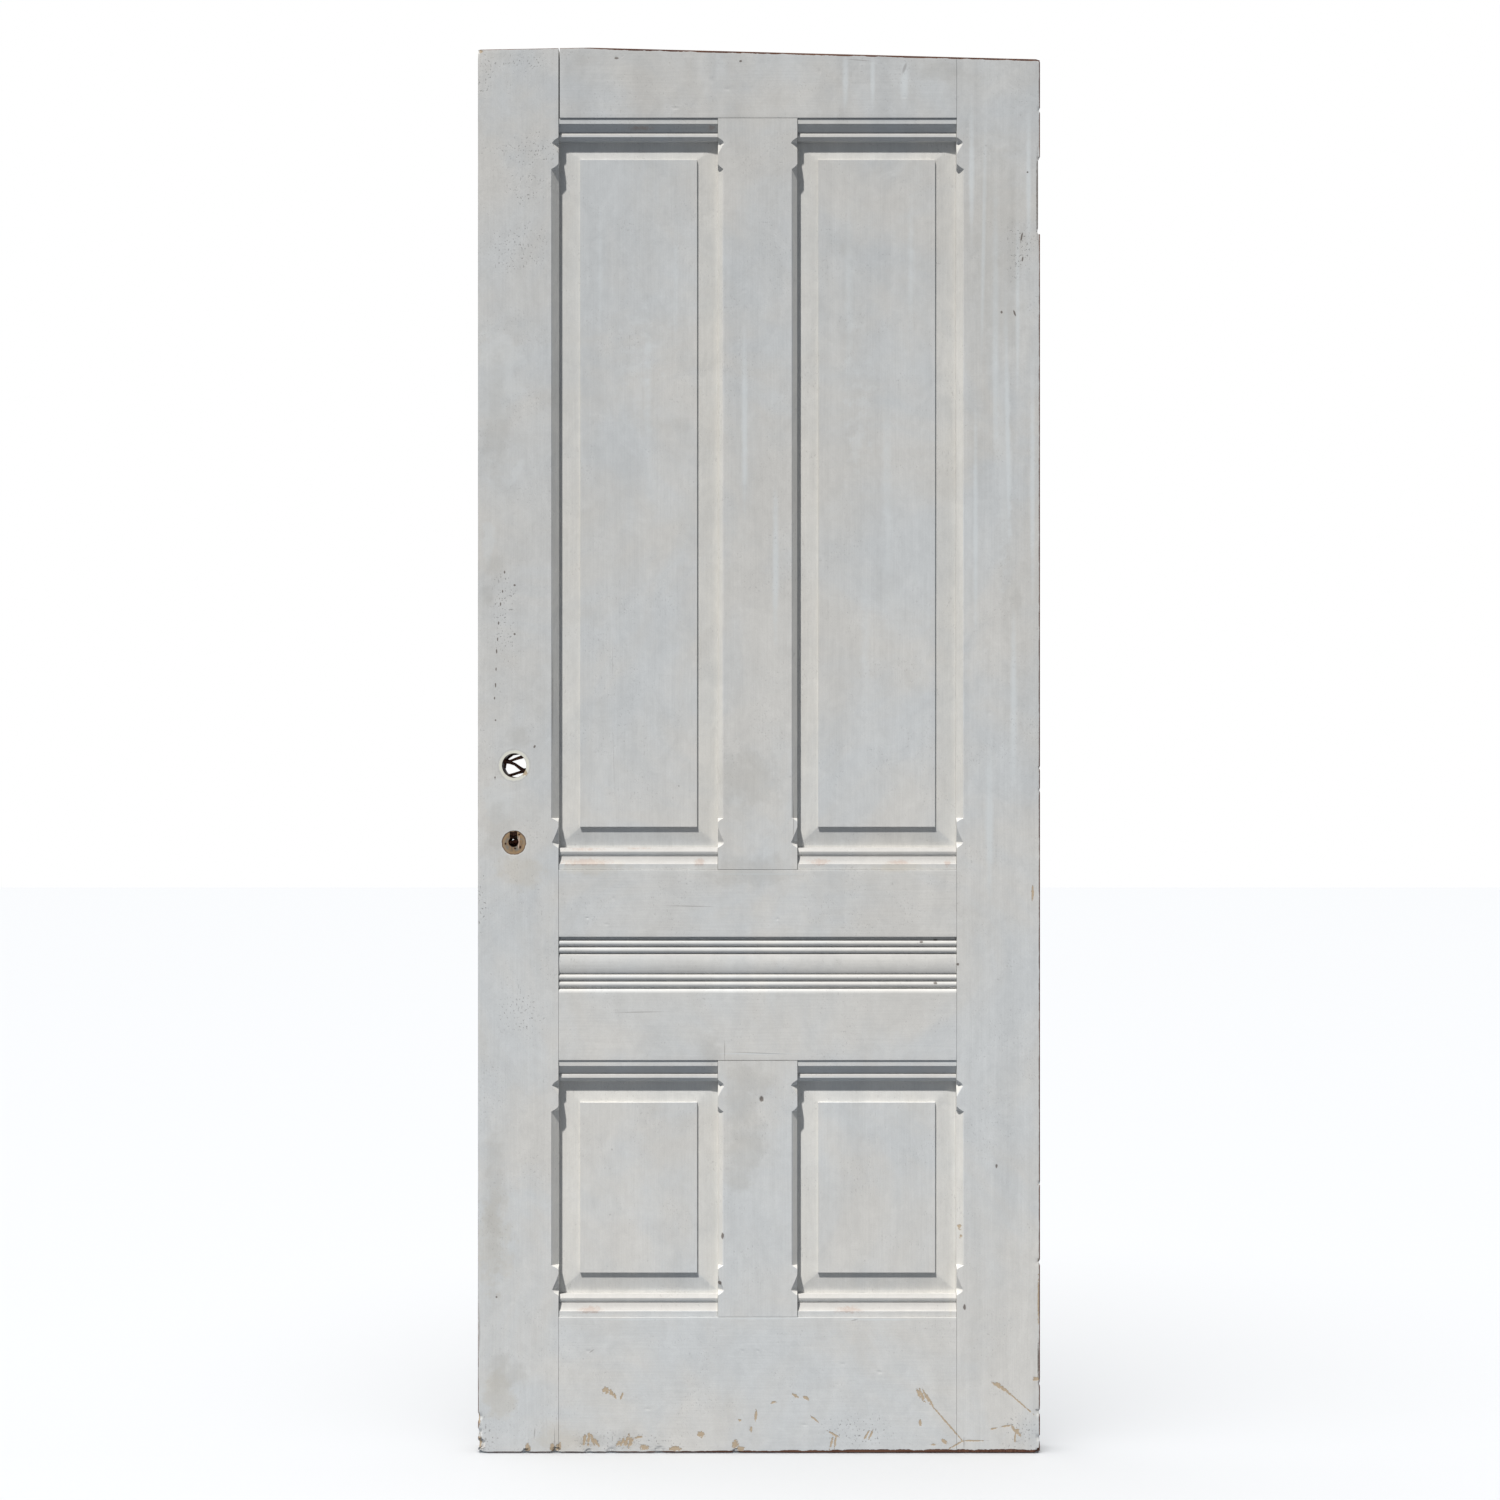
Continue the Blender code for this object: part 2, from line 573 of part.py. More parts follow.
def make_band():
    """The reeded board between the lock rails, tongued into the rails and stiles."""
    left = LOCK_STILE_WIDTH + FIT_GAP
    right = HINGE_STILE_LEFT - FIT_GAP
    outline = [(left, depth, BAND_FOOT + height) for height, depth in band_profile()]
    back = DOOR_THICKNESS - BAND_BACK_SET_IN
    outline.append((left, back, BAND_FOOT + BAND_HEIGHT - FIT_GAP))
    outline.append((left, back, BAND_FOOT + FIT_GAP))
    band = add_piece("reeded_band", prism(outline, (right - left, 0, 0)), (0.56, 0.565, 0.545))
    near, far = tongue_depths(0)
    join(band, box(
        (LOCK_STILE_WIDTH - GROOVE_DEPTH, near, BAND_FOOT - GROOVE_DEPTH),
        (HINGE_STILE_LEFT + GROOVE_DEPTH, far, UPPER_LOCK_RAIL_FOOT + GROOVE_DEPTH),
    ))


make_lock_stile()
make_hinge_stile()
make_rail("bottom_rail", False, True)
round_over_arris(make_rail("lower_lock_rail", True, True), BAND_FOOT)
make_rail("upper_lock_rail", True, True)
make_rail("top_rail", True, False)
make_band()
for row_name in OPENING_ENDS:
    make_muntin(row_name)
    for column_name in OPENING_LEFTS:
        make_panel(row_name, column_name)
        make_moulding(row_name, column_name, "head")
        make_moulding(row_name, column_name, "foot")
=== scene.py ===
"""Finish and studio for an antique panelled pine door leaf with worn grey-white paint."""

import json
import math

import bmesh
import bpy
from mathutils import Color, Matrix, Vector, noise

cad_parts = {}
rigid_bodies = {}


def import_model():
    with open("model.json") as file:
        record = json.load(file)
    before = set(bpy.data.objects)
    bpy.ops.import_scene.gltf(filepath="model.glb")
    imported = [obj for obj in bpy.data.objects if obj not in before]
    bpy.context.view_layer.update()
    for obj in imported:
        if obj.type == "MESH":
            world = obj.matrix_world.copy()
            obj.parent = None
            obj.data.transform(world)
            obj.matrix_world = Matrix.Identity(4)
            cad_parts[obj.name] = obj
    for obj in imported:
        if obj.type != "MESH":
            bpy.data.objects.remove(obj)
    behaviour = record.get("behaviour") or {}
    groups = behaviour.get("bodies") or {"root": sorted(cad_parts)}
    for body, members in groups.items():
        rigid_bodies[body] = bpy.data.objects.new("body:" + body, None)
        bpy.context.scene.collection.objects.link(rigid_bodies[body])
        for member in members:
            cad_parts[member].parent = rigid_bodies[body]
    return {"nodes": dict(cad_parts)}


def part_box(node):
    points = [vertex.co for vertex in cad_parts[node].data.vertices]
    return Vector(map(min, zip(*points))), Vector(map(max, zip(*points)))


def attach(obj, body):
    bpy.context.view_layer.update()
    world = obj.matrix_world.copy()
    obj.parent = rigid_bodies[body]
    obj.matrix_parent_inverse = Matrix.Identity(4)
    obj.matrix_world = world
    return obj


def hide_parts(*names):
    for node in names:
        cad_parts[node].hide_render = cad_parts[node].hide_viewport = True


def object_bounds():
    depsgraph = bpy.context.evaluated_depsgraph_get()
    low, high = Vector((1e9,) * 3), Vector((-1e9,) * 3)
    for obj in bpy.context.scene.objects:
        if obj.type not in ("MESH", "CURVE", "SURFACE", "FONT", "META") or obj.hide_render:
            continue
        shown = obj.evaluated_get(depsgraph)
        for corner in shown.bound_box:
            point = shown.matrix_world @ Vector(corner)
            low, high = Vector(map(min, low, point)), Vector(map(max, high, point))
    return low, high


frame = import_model()
CAD_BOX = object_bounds()

bl_info = {
    "name": "Worn Painted Door",
    "version": (1, 0, 0),
    "blender": (4, 5, 0),
    "location": "View3D > Sidebar > Door",
    "description": "Dresses a panelled door leaf in old paint and bare worn edges, and lights it",
    "category": "Object",
}

# The leaf's own corner: lock edge, front face and foot, as the frame has them
LOCK_EDGE, FRONT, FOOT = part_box("lock_stile")[0]
HINGE_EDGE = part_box("hinge_stile")[1].x
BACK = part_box("lock_stile")[1].y
TOP = CAD_BOX[1][2]
DOOR_WIDTH = HINGE_EDGE - LOCK_EDGE
LEAF_MIDDLE = LOCK_EDGE + DOOR_WIDTH / 2

# The top edge falls from its peak towards both sides
TOP_PEAK_ACROSS = 0.162
LOCK_FALL = 0.003 / TOP_PEAK_ACROSS
HINGE_FALL = 0.017 / (DOOR_WIDTH - TOP_PEAK_ACROSS)

# The photo's frame: where the leaf's lock edge and foot lie in it, and the size of a pixel
PHOTO_LOCK_EDGE = 478.3
PHOTO_FOOT = 1451.5
PIXEL_MM = 1.446

# The two ways that the grain of a board runs
UPRIGHT = "upright"
LEVEL = "level"

# What lies within this distance of a face lies on it
NEAR = 0.0002


def on_leaf(across, up):
    """A place on the front face, from millimetres off the lock edge and above the foot."""
    return Vector((LOCK_EDGE + across / 1000, FRONT, FOOT + up / 1000))


def seen_at(px, py):
    """Millimetres off the lock edge and above the foot, of a point of the photo's frame."""
    return (px - PHOTO_LOCK_EDGE) * PIXEL_MM, (PHOTO_FOOT - py) * PIXEL_MM


# The two holes of the missing lock, in millimetres: their middles across and up, and their radius,
# then half the width of the keyhole's slot and how far it rises above the middle
KNOB_HOLE = (52.5, 993.6, 17.5)
KEYHOLE = (51.5, 883.0, 7.25)
KEYHOLE_SLOT = (5.25, 14.5)

# Places of chips knocked out of the leaf's outer arrises: photo x and y, radius and depth in mm
CHIPS = [
    (479, 50, 4, 1.6), (479, 1416, 7, 1.5), (479, 1431.5, 6, 1.6), (480, 1443, 9, 2.6), (479.5, 1451, 7, 3),
    (526, 1451, 6, 1.8), (556.5, 1450.5, 8, 2.2), (589, 1451, 6, 1.2), (612, 1451, 9, 1),
    (660, 1451, 10, 1), (736, 1451, 6, 1.4), (1039.6, 767, 3.5, 1.2), (1039.6, 789, 3.5, 1.2),
    (1039.6, 1182, 3.5, 1.3), (1039.6, 1261, 5, 1.4), (1039.6, 1383, 4, 1.2), (1039.6, 1411, 6, 1.5),
    (1039.6, 1437, 6, 1.4), (1039.6, 1451, 6, 2.2), (1039.8, 109, 4, 1.2), (1038.6, 230, 4, 1.2),
    (1039.6, 58, 4, 1.6),
]

# Shallow dents and knocks in the faces of the boards: photo x and y, width, height and depth in mm
DENTS = [
    (617, 56, 5, 3, 0.7), (676, 107, 14, 3, 0.5), (728, 88, 12, 4, 0.4), (712, 79, 7, 12, 0.3),
    (745, 290, 9, 3, 0.4), (750, 303, 8, 3, 0.35), (751, 480, 4, 3, 0.5), (614, 897, 4, 4, 0.6),
    (588, 917, 7, 3, 0.6), (607, 923, 10, 2, 0.5), (778, 918, 5, 4, 0.6), (523, 236, 4, 3, 0.7),
    (497, 236, 3, 3, 0.8), (492, 600, 9, 16, 0.3), (820, 70, 6, 10, 0.4), (905, 96, 8, 3, 0.4),
    (589, 1350, 8, 4, 0.6), (758, 1350, 6, 3, 0.5), (743, 1350, 6, 3, 0.5), (843, 1363, 10, 3, 0.5),
    (880, 1371, 9, 4, 0.6), (805, 1424, 10, 3, 0.5), (648, 1408, 12, 3, 0.4), (996, 1165, 3, 8, 0.8),
    (990, 712, 5, 5, 0.4), (968, 126, 4, 4, 0.7), (762, 1098, 7, 9, 0.9), (1013, 1222, 8, 14, 0.2),
    (497, 1296, 5, 5, 0.5), (623, 55, 3, 3, 0.5),
]


# Shapes: every board is a finer copy of its CAD node, softened, waved and chipped

def length_setting(name, description, default):
    return bpy.props.FloatProperty(name=name, description=description, default=default, unit="LENGTH")


def colour_setting(name, description, default):
    return bpy.props.FloatVectorProperty(
        name=name, description=description, default=default, subtype="COLOR", size=3)


class ShapeSettings(bpy.types.PropertyGroup):
    spacing: length_setting("Spacing", "Size of the faces that the skin is divided into", 0.0075)
    outer_round: length_setting("Outer round", "Rounding of the leaf's outer arrises", 0.0010)
    rail_round: length_setting("Rail round", "Rounding of the rail arrises at the openings", 0.0009)
    fine_round: length_setting("Fine round", "Rounding of the arrises of the panels' fields", 0.0004)
    waviness: length_setting("Waviness", "How deep the slow waves of the old boards are", 0.00016)


def top_at(x):
    """Height of the sloping top edge above a point of the leaf's width."""
    past_peak = x - LOCK_EDGE - TOP_PEAK_ACROSS
    return TOP + (past_peak * LOCK_FALL if past_peak < 0 else -past_peak * HINGE_FALL)


def merged_copy(node):
    """A closed copy of a CAD node, its loose triangles merged and its flat faces made whole."""
    bm = bmesh.new()
    bm.from_mesh(frame["nodes"][node].data)
    same_point = 0.00001
    flat = math.radians(0.3)
    bmesh.ops.remove_doubles(bm, verts=bm.verts, dist=same_point)
    bmesh.ops.dissolve_limit(bm, angle_limit=flat, verts=bm.verts, edges=bm.edges)
    return bm


def edge_middle(edge):
    return (edge.verts[0].co + edge.verts[1].co) / 2


def is_arris(edge, least_length):
    """True for a long convex edge with a real corner."""
    if len(edge.link_faces) != 2 or edge.calc_length() < least_length:
        return False
    least_turn = math.radians(20)
    return edge.is_convex and edge.calc_face_angle(0) > least_turn


def on_outline(edge):
    """True for an edge that lies on the leaf's outer faces, away from the joints."""
    middle = edge_middle(edge)
    return (
        middle.x < LOCK_EDGE + NEAR
        or middle.x > HINGE_EDGE - NEAR
        or middle.z < FOOT + NEAR
        or middle.z > top_at(middle.x) - NEAR
    )


def in_front(edge):
    return all(vert.co.y < FRONT + NEAR for vert in edge.verts)


def behind(edge):
    return all(vert.co.y > BACK - NEAR for vert in edge.verts)


def round_edges(bm, width, chosen):
    """Round the edges that a test picks."""
    edges = [edge for edge in bm.edges if chosen(edge)]
    bmesh.ops.bevel(
        bm, geom=edges, offset=width, offset_type="OFFSET", segments=2, profile=0.5,
        affect="EDGES", clamp_overlap=False, material=-1,
    )


def slice_span(bm, faces, axis, low, high, spacing):
    """Divide faces by planes across an axis, halving a span until its parts are small."""
    narrow = spacing * 1.4
    if high - low <= narrow or not faces:
        return
    middle = (low + high) / 2
    normal = Vector([1.0 if number == axis else 0.0 for number in range(3)])
    verts = {vert for face in faces for vert in face.verts}
    edges = {edge for face in faces for edge in face.edges}
    result = bmesh.ops.bisect_plane(
        bm, geom=[*verts, *edges, *faces], dist=0.00005, plane_co=normal * middle, plane_no=normal)
    parts = [item for item in result["geom"] if isinstance(item, bmesh.types.BMFace)]
    lower = [face for face in parts if face.calc_center_bounds()[axis] < middle]
    upper = [face for face in parts if face.calc_center_bounds()[axis] >= middle]
    slice_span(bm, lower, axis, low, middle, spacing)
    slice_span(bm, upper, axis, middle, high, spacing)


def slice_all(bm, axes, spacing):
    for axis in axes:
        places = [vert.co[axis] for vert in bm.verts]
        slice_span(bm, bm.faces[:], axis, min(places), max(places), spacing)


def refine_round(bm, spots):
    """Divide the edges around some spots of the front more finely."""
    deepest = FRONT + 0.012
    least_length = 0.003
    chosen = []
    for edge in bm.edges:
        middle = edge_middle(edge)
        beside_spot = any(
            abs(middle.x - place.x) < reach and abs(middle.z - place.z) < reach for place, reach in spots)
        if middle.y <= deepest and beside_spot and edge.calc_length() > least_length:
            chosen.append(edge)
    bmesh.ops.subdivide_edges(bm, edges=chosen, cuts=3, use_grid_fill=True)


def wave(place, grain):
    """Slow waves of an old board, from 0 to 1."""
    along = (30.0, 30.0, 8.0) if grain == UPRIGHT else (8.0, 30.0, 30.0)
    drawn = Vector([value * factor for value, factor in zip(place, along)])
    return 0.5 + 0.35 * noise.noise(place * 11.0) + 0.25 * noise.noise(drawn)


def chip_push(place, centre, reach, deep):
    """How a chip moves a point of the skin: back, and in from the leaf's nearest edge."""
    off = (place - centre).length
    if off >= reach * 1.4:
        return Vector()
    ragged = 1 + 0.45 * noise.noise(place * 420)
    share = max(0.0, 1 - off / (reach * ragged))
    inwards = Vector((math.copysign(1, LEAF_MIDDLE - centre.x), 0, 0))
    if centre.z < FOOT + 0.004:
        inwards = Vector((0, 0, 1))
    if centre.z > TOP - 0.02:
        inwards = (inwards + Vector((0, 0, -1))) / 2
    return (Vector((0, 1, 0)) + inwards * 0.8) * deep * min(1.0, share * 1.8)


def dent_depth(place, centre, wide, high, deep):
    """How deep a dent is at a point of the front."""
    off = math.hypot((place.x - centre.x) / wide, (place.z - centre.z) / high)
    return deep * (1 - off) ** 0.8 if off < 1 else 0.0


def sink(bm, settings, grain):
    """Let the skin sink a little in slow waves, and knock the chips and dents into it."""
    chips_end = FRONT + 0.010
    dents_end = FRONT + 0.002
    bm.normal_update()
    chips = [(on_leaf(*seen_at(px, py)), reach / 1000, deep / 1000) for px, py, reach, deep in CHIPS]
    dents = [
        (on_leaf(*seen_at(px, py)), wide / 2000, high / 2000, deep / 1000)
        for px, py, wide, high, deep in DENTS
    ]
    for vert in bm.verts:
        place = vert.co.copy()
        move = -vert.normal * settings.waviness * wave(place, grain)
        if place.y < chips_end:
            for chip in chips:
                move += chip_push(place, *chip)
        if place.y < dents_end:
            for dent in dents:
                move.y += dent_depth(place, *dent)
        vert.co = place + move


def spots_on(node):
    """The chips and dents that lie on one board, with how far around them it is refined."""
    low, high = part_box(node)
    margin = 0.002
    found = []
    for px, py, *sizes in CHIPS + DENTS:
        place = on_leaf(*seen_at(px, py))
        reach = max(sizes[:-1]) / 1000 + margin
        if low.x - reach < place.x < high.x + reach and low.z - reach < place.z < high.z + reach:
            found.append((place, reach))
    return found


def finish_piece(name, bm, material, replaced, sharp=32):
    """Make the object: smooth shaded with sharp corners, riding on the leaf in its node's place."""
    mesh = bpy.data.meshes.new(name)
    bmesh.ops.recalc_face_normals(bm, faces=bm.faces)
    bm.to_mesh(mesh)
    bm.free()
    if "custom_normal" in mesh.attributes:
        mesh.attributes.remove(mesh.attributes["custom_normal"])
    mesh.materials.append(material)
    mesh.shade_smooth()
    mesh.set_sharp_from_angle(angle=math.radians(sharp))
    piece = bpy.data.objects.new(name, mesh)
    bpy.context.scene.collection.objects.link(piece)
    weighted = piece.modifiers.new("even_shading", "WEIGHTED_NORMAL")
    weighted.keep_sharp = True
    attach(piece, "root")
    if replaced:
        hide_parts(replaced)


def dress_board(node, grain, material, settings):
    """A stile, rail or muntin with softened arrises, waves, chips and dents."""
    long_edge = 0.012

    def outer(edge):
        return is_arris(edge, long_edge) and on_outline(edge) and (in_front(edge) or behind(edge))

    def at_opening(edge):
        level = abs(edge.verts[0].co.z - edge.verts[1].co.z) < 0.0001
        return level and is_arris(edge, long_edge) and in_front(edge) and not on_outline(edge)

    bm = merged_copy(node)
    round_edges(bm, settings.outer_round, outer)
    if "rail" in node:
        round_edges(bm, settings.rail_round, at_opening)
    slice_all(bm, (0, 2), settings.spacing)
    spots = spots_on(node)
    if spots:
        refine_round(bm, spots)
    sink(bm, settings, grain)
    finish_piece("worn_" + node, bm, material, node)


def dress_strip(node, material, settings, sharp):
    """A moulding or the reeded band, its profile as it is, with waves and dents."""
    bm = merged_copy(node)
    slice_all(bm, (0,), settings.spacing)
    sink(bm, settings, LEVEL)
    finish_piece("worn_" + node, bm, material, node, sharp)


def dress_panel(node, material, settings):
    """A raised panel, with the arrises of its field softened."""
    bm = merged_copy(node)
    field = min(vert.co.y for vert in bm.verts)
    round_edges(bm, settings.fine_round, lambda edge: all(vert.co.y < field + 0.0001 for vert in edge.verts))
    slice_all(bm, (0, 2), settings.spacing)
    sink(bm, settings, UPRIGHT)
    finish_piece("worn_" + node, bm, material, node, 12)


# Shader wiring

def add_node(tree, kind, **settings):
    """A shader node with its plain settings, such as an operation, filled in."""
    made = tree.nodes.new(kind)
    for name, value in settings.items():
        setattr(made, name, value)
    return made


def tree_of(*values):
    """The node tree of the first socket among some values."""
    return next(value.id_data for value in values if isinstance(value, bpy.types.NodeSocket))


def feed(socket, value):
    """Link a socket to another one, or give it a plain value."""
    if isinstance(value, bpy.types.NodeSocket):
        socket.id_data.links.new(value, socket)
    elif socket.type == "RGBA" and isinstance(value, (tuple, Color)):
        socket.default_value = (*value[:3], 1.0)
    else:
        socket.default_value = value


def operate(kind, operation, values):
    """A node that works out something from a few values."""
    made = add_node(tree_of(*values), kind, operation=operation)
    for socket, value in zip(made.inputs, values):
        feed(socket, value)
    return made


def calc(operation, *values):
    return operate("ShaderNodeMath", operation, values).outputs[0]


def calc_all(operation, values):
    """One value from several, by one operation after the other."""
    total = values[0]
    for value in values[1:]:
        total = calc(operation, total, value)
    return total


def plus(*values):
    return calc_all("ADD", values)


def minus(*values):
    return calc_all("SUBTRACT", values)


def times(*values):
    return calc_all("MULTIPLY", values)


def least(*values):
    return calc_all("MINIMUM", values)


def most(*values):
    return calc_all("MAXIMUM", values)


def middle_of(a, b, c):
    """The middle one of three values."""
    return most(least(a, b), least(most(a, b), c))


def vector_calc(operation, *values):
    return operate("ShaderNodeVectorMath", operation, values).outputs[0]


def length_of(vector):
    return operate("ShaderNodeVectorMath", "LENGTH", [vector]).outputs["Value"]


def split(vector):
    """The x, y and z of a vector."""
    made = add_node(tree_of(vector), "ShaderNodeSeparateXYZ")
    feed(made.inputs[0], vector)
    return made.outputs


def blend_colour(share, first, second, blend="MIX"):
    made = add_node(tree_of(share, first, second), "ShaderNodeMix", data_type="RGBA", blend_type=blend)
    feed(made.inputs["Factor"], share)
    feed(made.inputs["A"], first)
    feed(made.inputs["B"], second)
    return made.outputs["Result"]


def steps(value, low, high, to_low=0.0, to_high=1.0, smooth=True):
    """Map a value from one range to another, held at both ends."""
    kind = "SMOOTHSTEP" if smooth else "LINEAR"
    made = add_node(tree_of(value), "ShaderNodeMapRange", interpolation_type=kind, clamp=True)
    for socket, number in zip(made.inputs, (value, low, high, to_low, to_high)):
        feed(socket, number)
    return made.outputs[0]


def cloud(place, scale, detail=3.0, roughness=0.55, stretch=(1, 1, 1), twist=0.0):
    """Noise in the part's own coordinates, drawn out along an axis by stretch."""
    made = add_node(tree_of(place), "ShaderNodeTexNoise", noise_dimensions="3D")
    for label, value in (("Vector", vector_calc("MULTIPLY", place, stretch)), ("Scale", scale),
                         ("Detail", detail), ("Roughness", roughness), ("Distortion", twist)):
        feed(made.inputs[label], value)
    return made.outputs["Fac"]


def mark_group():
    """A node group: how much of a point is covered by one ragged oval mark on the front."""
    name = "oval_mark"
    if name in bpy.data.node_groups:
        return bpy.data.node_groups[name]
    group = bpy.data.node_groups.new(name, "ShaderNodeTree")
    for label in ("Place", "Centre", "Size"):
        group.interface.new_socket(label, in_out="INPUT", socket_type="NodeSocketVector")
    for label in ("Turn", "Ragged", "Softness"):
        group.interface.new_socket(label, in_out="INPUT", socket_type="NodeSocketFloat")
    group.interface.new_socket("Mask", in_out="OUTPUT", socket_type="NodeSocketFloat")
    inside = group.nodes.new("NodeGroupInput").outputs
    outside = group.nodes.new("NodeGroupOutput")
    offset = vector_calc("SUBTRACT", inside["Place"], inside["Centre"])
    turned = add_node(group, "ShaderNodeVectorRotate", rotation_type="Y_AXIS")
    feed(turned.inputs["Vector"], offset)
    feed(turned.inputs["Angle"], inside["Turn"])
    reach = length_of(vector_calc("DIVIDE", turned.outputs[0], inside["Size"]))
    ragged = plus(reach, inside["Ragged"])
    start = plus(1.0, inside["Softness"])
    end = minus(1.0, inside["Softness"])
    feed(outside.inputs["Mask"], steps(ragged, start, end))
    return group


def mark(place, spot, ragged, softness):
    """Mask of one oval mark: photo x and y, millimetres wide and high, degrees turned clockwise."""
    px, py, wide, high, *turned = spot
    turn = turned[0] if turned else 0
    deep = 0.012
    made = add_node(tree_of(place), "ShaderNodeGroup", node_tree=mark_group())
    for label, value in (
        ("Place", place),
        ("Centre", on_leaf(*seen_at(px, py))),
        ("Size", Vector((wide / 2000, deep, high / 2000))),
        ("Turn", math.radians(-turn)),
        ("Ragged", ragged),
        ("Softness", softness),
    ):
        feed(made.inputs[label], value)
    return made.outputs["Mask"]


def all_marks(place, spots, ragged, softness):
    """The strongest of several marks, or None where there are none."""
    if not spots:
        return None
    return most(*[mark(place, spot, ragged, softness) for spot in spots])


def new_material(name):
    """A material with its node tree and its shader."""
    material = bpy.data.materials.new(name)
    material.use_nodes = True
    tree = material.node_tree
    return material, tree, tree.nodes["Principled BSDF"]


def own_place(tree):
    """The coordinates of the piece itself."""
    return add_node(tree, "ShaderNodeTexCoord").outputs["Object"]


def add_relief(shader, height, strength):
    """Bump the surface by a height in metres."""
    bump = add_node(tree_of(height), "ShaderNodeBump")
    bump.inputs["Strength"].default_value = strength
    bump.inputs["Distance"].default_value = 1.0
    feed(bump.inputs["Height"], height)
    feed(shader.inputs["Normal"], bump.outputs[0])


# Marks on the paint: x and y in the photo's frame, millimetres wide and high, and for a turned mark
# its degrees
BARE_MARKS = [
    (604.5, 1389, 4, 8, 20), (608, 1389.5, 5, 10, 20), (612, 1392, 5, 10, -20), (615.5, 1395, 3, 10, -20),
    (622, 1395.5, 3, 13, 20), (585, 1438, 4, 16, 10), (589, 1438, 4, 18, 5), (593, 1439, 4, 16, -15),
    (597, 1441, 4, 14, -35), (619, 1442, 4, 11, 30), (623, 1440.5, 4, 15, 28), (627, 1440, 5, 19, 22),
    (631, 1441, 5, 17, 18), (640, 1436, 12, 3.4, -12), (645, 1446.5, 13, 7, 5), (675.5, 1447.5, 15, 7),
    (701.5, 1433.5, 10, 7), (735.5, 1443, 8, 12, 20), (741, 1448, 11, 7), (751.5, 1428, 5, 7),
    (756.5, 1414, 3.6, 14, 6), (740, 1419, 4, 4), (919, 1392, 4, 15, -20), (922.5, 1395, 4, 20, -22),
    (926.5, 1395, 3.4, 24, -26), (930, 1399, 3, 20, -30), (948, 1422.5, 2.4, 66, -41),
    (997.5, 1384.5, 4, 16, -55), (1002, 1386.5, 4, 24, -52), (1006, 1389, 3.4, 26, -48),
    (1021, 1402, 2.2, 46, -49), (1006.5, 1425, 15, 2.2, -9), (1014, 1427.5, 3.4, 13, -32),
    (1018, 1431, 5, 14, -32), (1015.5, 1437, 2.4, 16, 4), (994, 1427.5, 9, 2.4, -12),
    (796, 1394.5, 4, 10, -50), (806.5, 1397, 4, 10, -60), (773.5, 1401.5, 8, 3.4, -15),
    (815, 1418, 2.6, 14, -50), (834, 1433, 3, 16, -62), (832, 1441, 2.6, 18, 15), (835.8, 1440, 2.6, 20, 8),
    (867, 1434, 2.8, 16, 32), (871.5, 1433, 2.8, 16, 25), (945, 1440.5, 9, 5, 30), (934, 1443.5, 7, 2.6),
    (974, 1439.6, 32, 2), (957, 1443.5, 2.2, 24, 60), (920.5, 1422, 4, 9), (1036.5, 1378, 8, 6),
    (960, 1226, 6, 9), (961, 1236, 4, 6), (481.2, 50, 5, 5), (559, 1446, 6, 12, 15), (528, 1447, 7, 12),
    (553, 1447, 7, 12), (479.4, 1418, 3, 18), (480.5, 1441, 5, 18), (1033, 892, 3, 22),
    (524.8, 771.4, 9, 7, 40), (1038.8, 1300, 2, 60),
]
GREY_MARKS = [
    (497, 563, 26, 40), (488, 594, 22, 26), (748, 1080, 60, 40), (742, 1105, 44, 60),
    (745, 1150, 52, 90, 10), (738, 1178, 34, 34), (848, 240, 44, 50), (678, 420, 46, 40),
    (1017, 600, 16, 40), (495, 1200, 24, 200), (500, 1370, 26, 60), (745, 780, 90, 70), (745, 870, 120, 40),
    (712, 1050, 20, 50), (500, 830, 40, 60), (940, 70, 60, 26), (1000, 250, 60, 300), (497, 420, 30, 160),
    (517, 737, 26, 32), (518, 733, 16, 22), (508, 1376, 44, 36), (596, 1440, 40, 24), (626, 1438, 40, 26),
]
PALE_MARKS = [
    (500, 352, 60, 56), (505, 385, 50, 50, 20), (496, 405, 40, 50), (489, 540, 20, 60),
    (517, 470, 16, 40, 30), (500, 800, 40, 60), (505, 1005, 40, 60), (1005, 460, 20, 300),
    (640, 350, 90, 200), (860, 420, 60, 300),
]
CREAM_MARKS = [
    (590, 866, 90, 22), (500, 1395, 40, 60), (560, 1440, 60, 40), (520, 870, 60, 40), (493, 1240, 50, 120),
    (900, 866, 60, 12),
]
PALE_STREAKS = [
    (972, 170, 7, 150), (984, 240, 5, 260, 1), (996, 330, 8, 330), (1008, 420, 6, 300, -1),
    (1018, 300, 5, 220), (1029, 180, 6, 160), (1033, 480, 6, 260), (976, 520, 6, 240), (1014, 700, 8, 200),
    (990, 820, 10, 160), (846, 78, 8, 60), (905, 84, 10, 50), (873, 82, 6, 56), (600, 260, 9, 200),
    (648, 400, 12, 260), (676, 280, 8, 160), (850, 300, 14, 300), (888, 500, 16, 340), (912, 260, 10, 200),
    (866, 640, 14, 160), (745, 420, 8, 200), (776, 560, 8, 160), (759, 1317.4, 112, 2.4),
    (759, 873, 112, 2), (640, 1318.6, 120, 2), (880, 1318.6, 110, 2), (857, 1318, 14, 4),
    (759, 1052.6, 100, 2),
]
# Cream lines on the field edges and chamfer feet that face the key light: a painted highlight.
CREAM_HIGHLIGHT_LINES = [
    (579.5, 450, 4, 800), (717.5, 480, 6, 900), (951, 480, 6, 900), (819, 480, 4, 880),
    (579.5, 1200, 3, 240), (819, 1200, 3, 240), (717.5, 1200, 5, 300), (951, 1200, 5, 300),
]
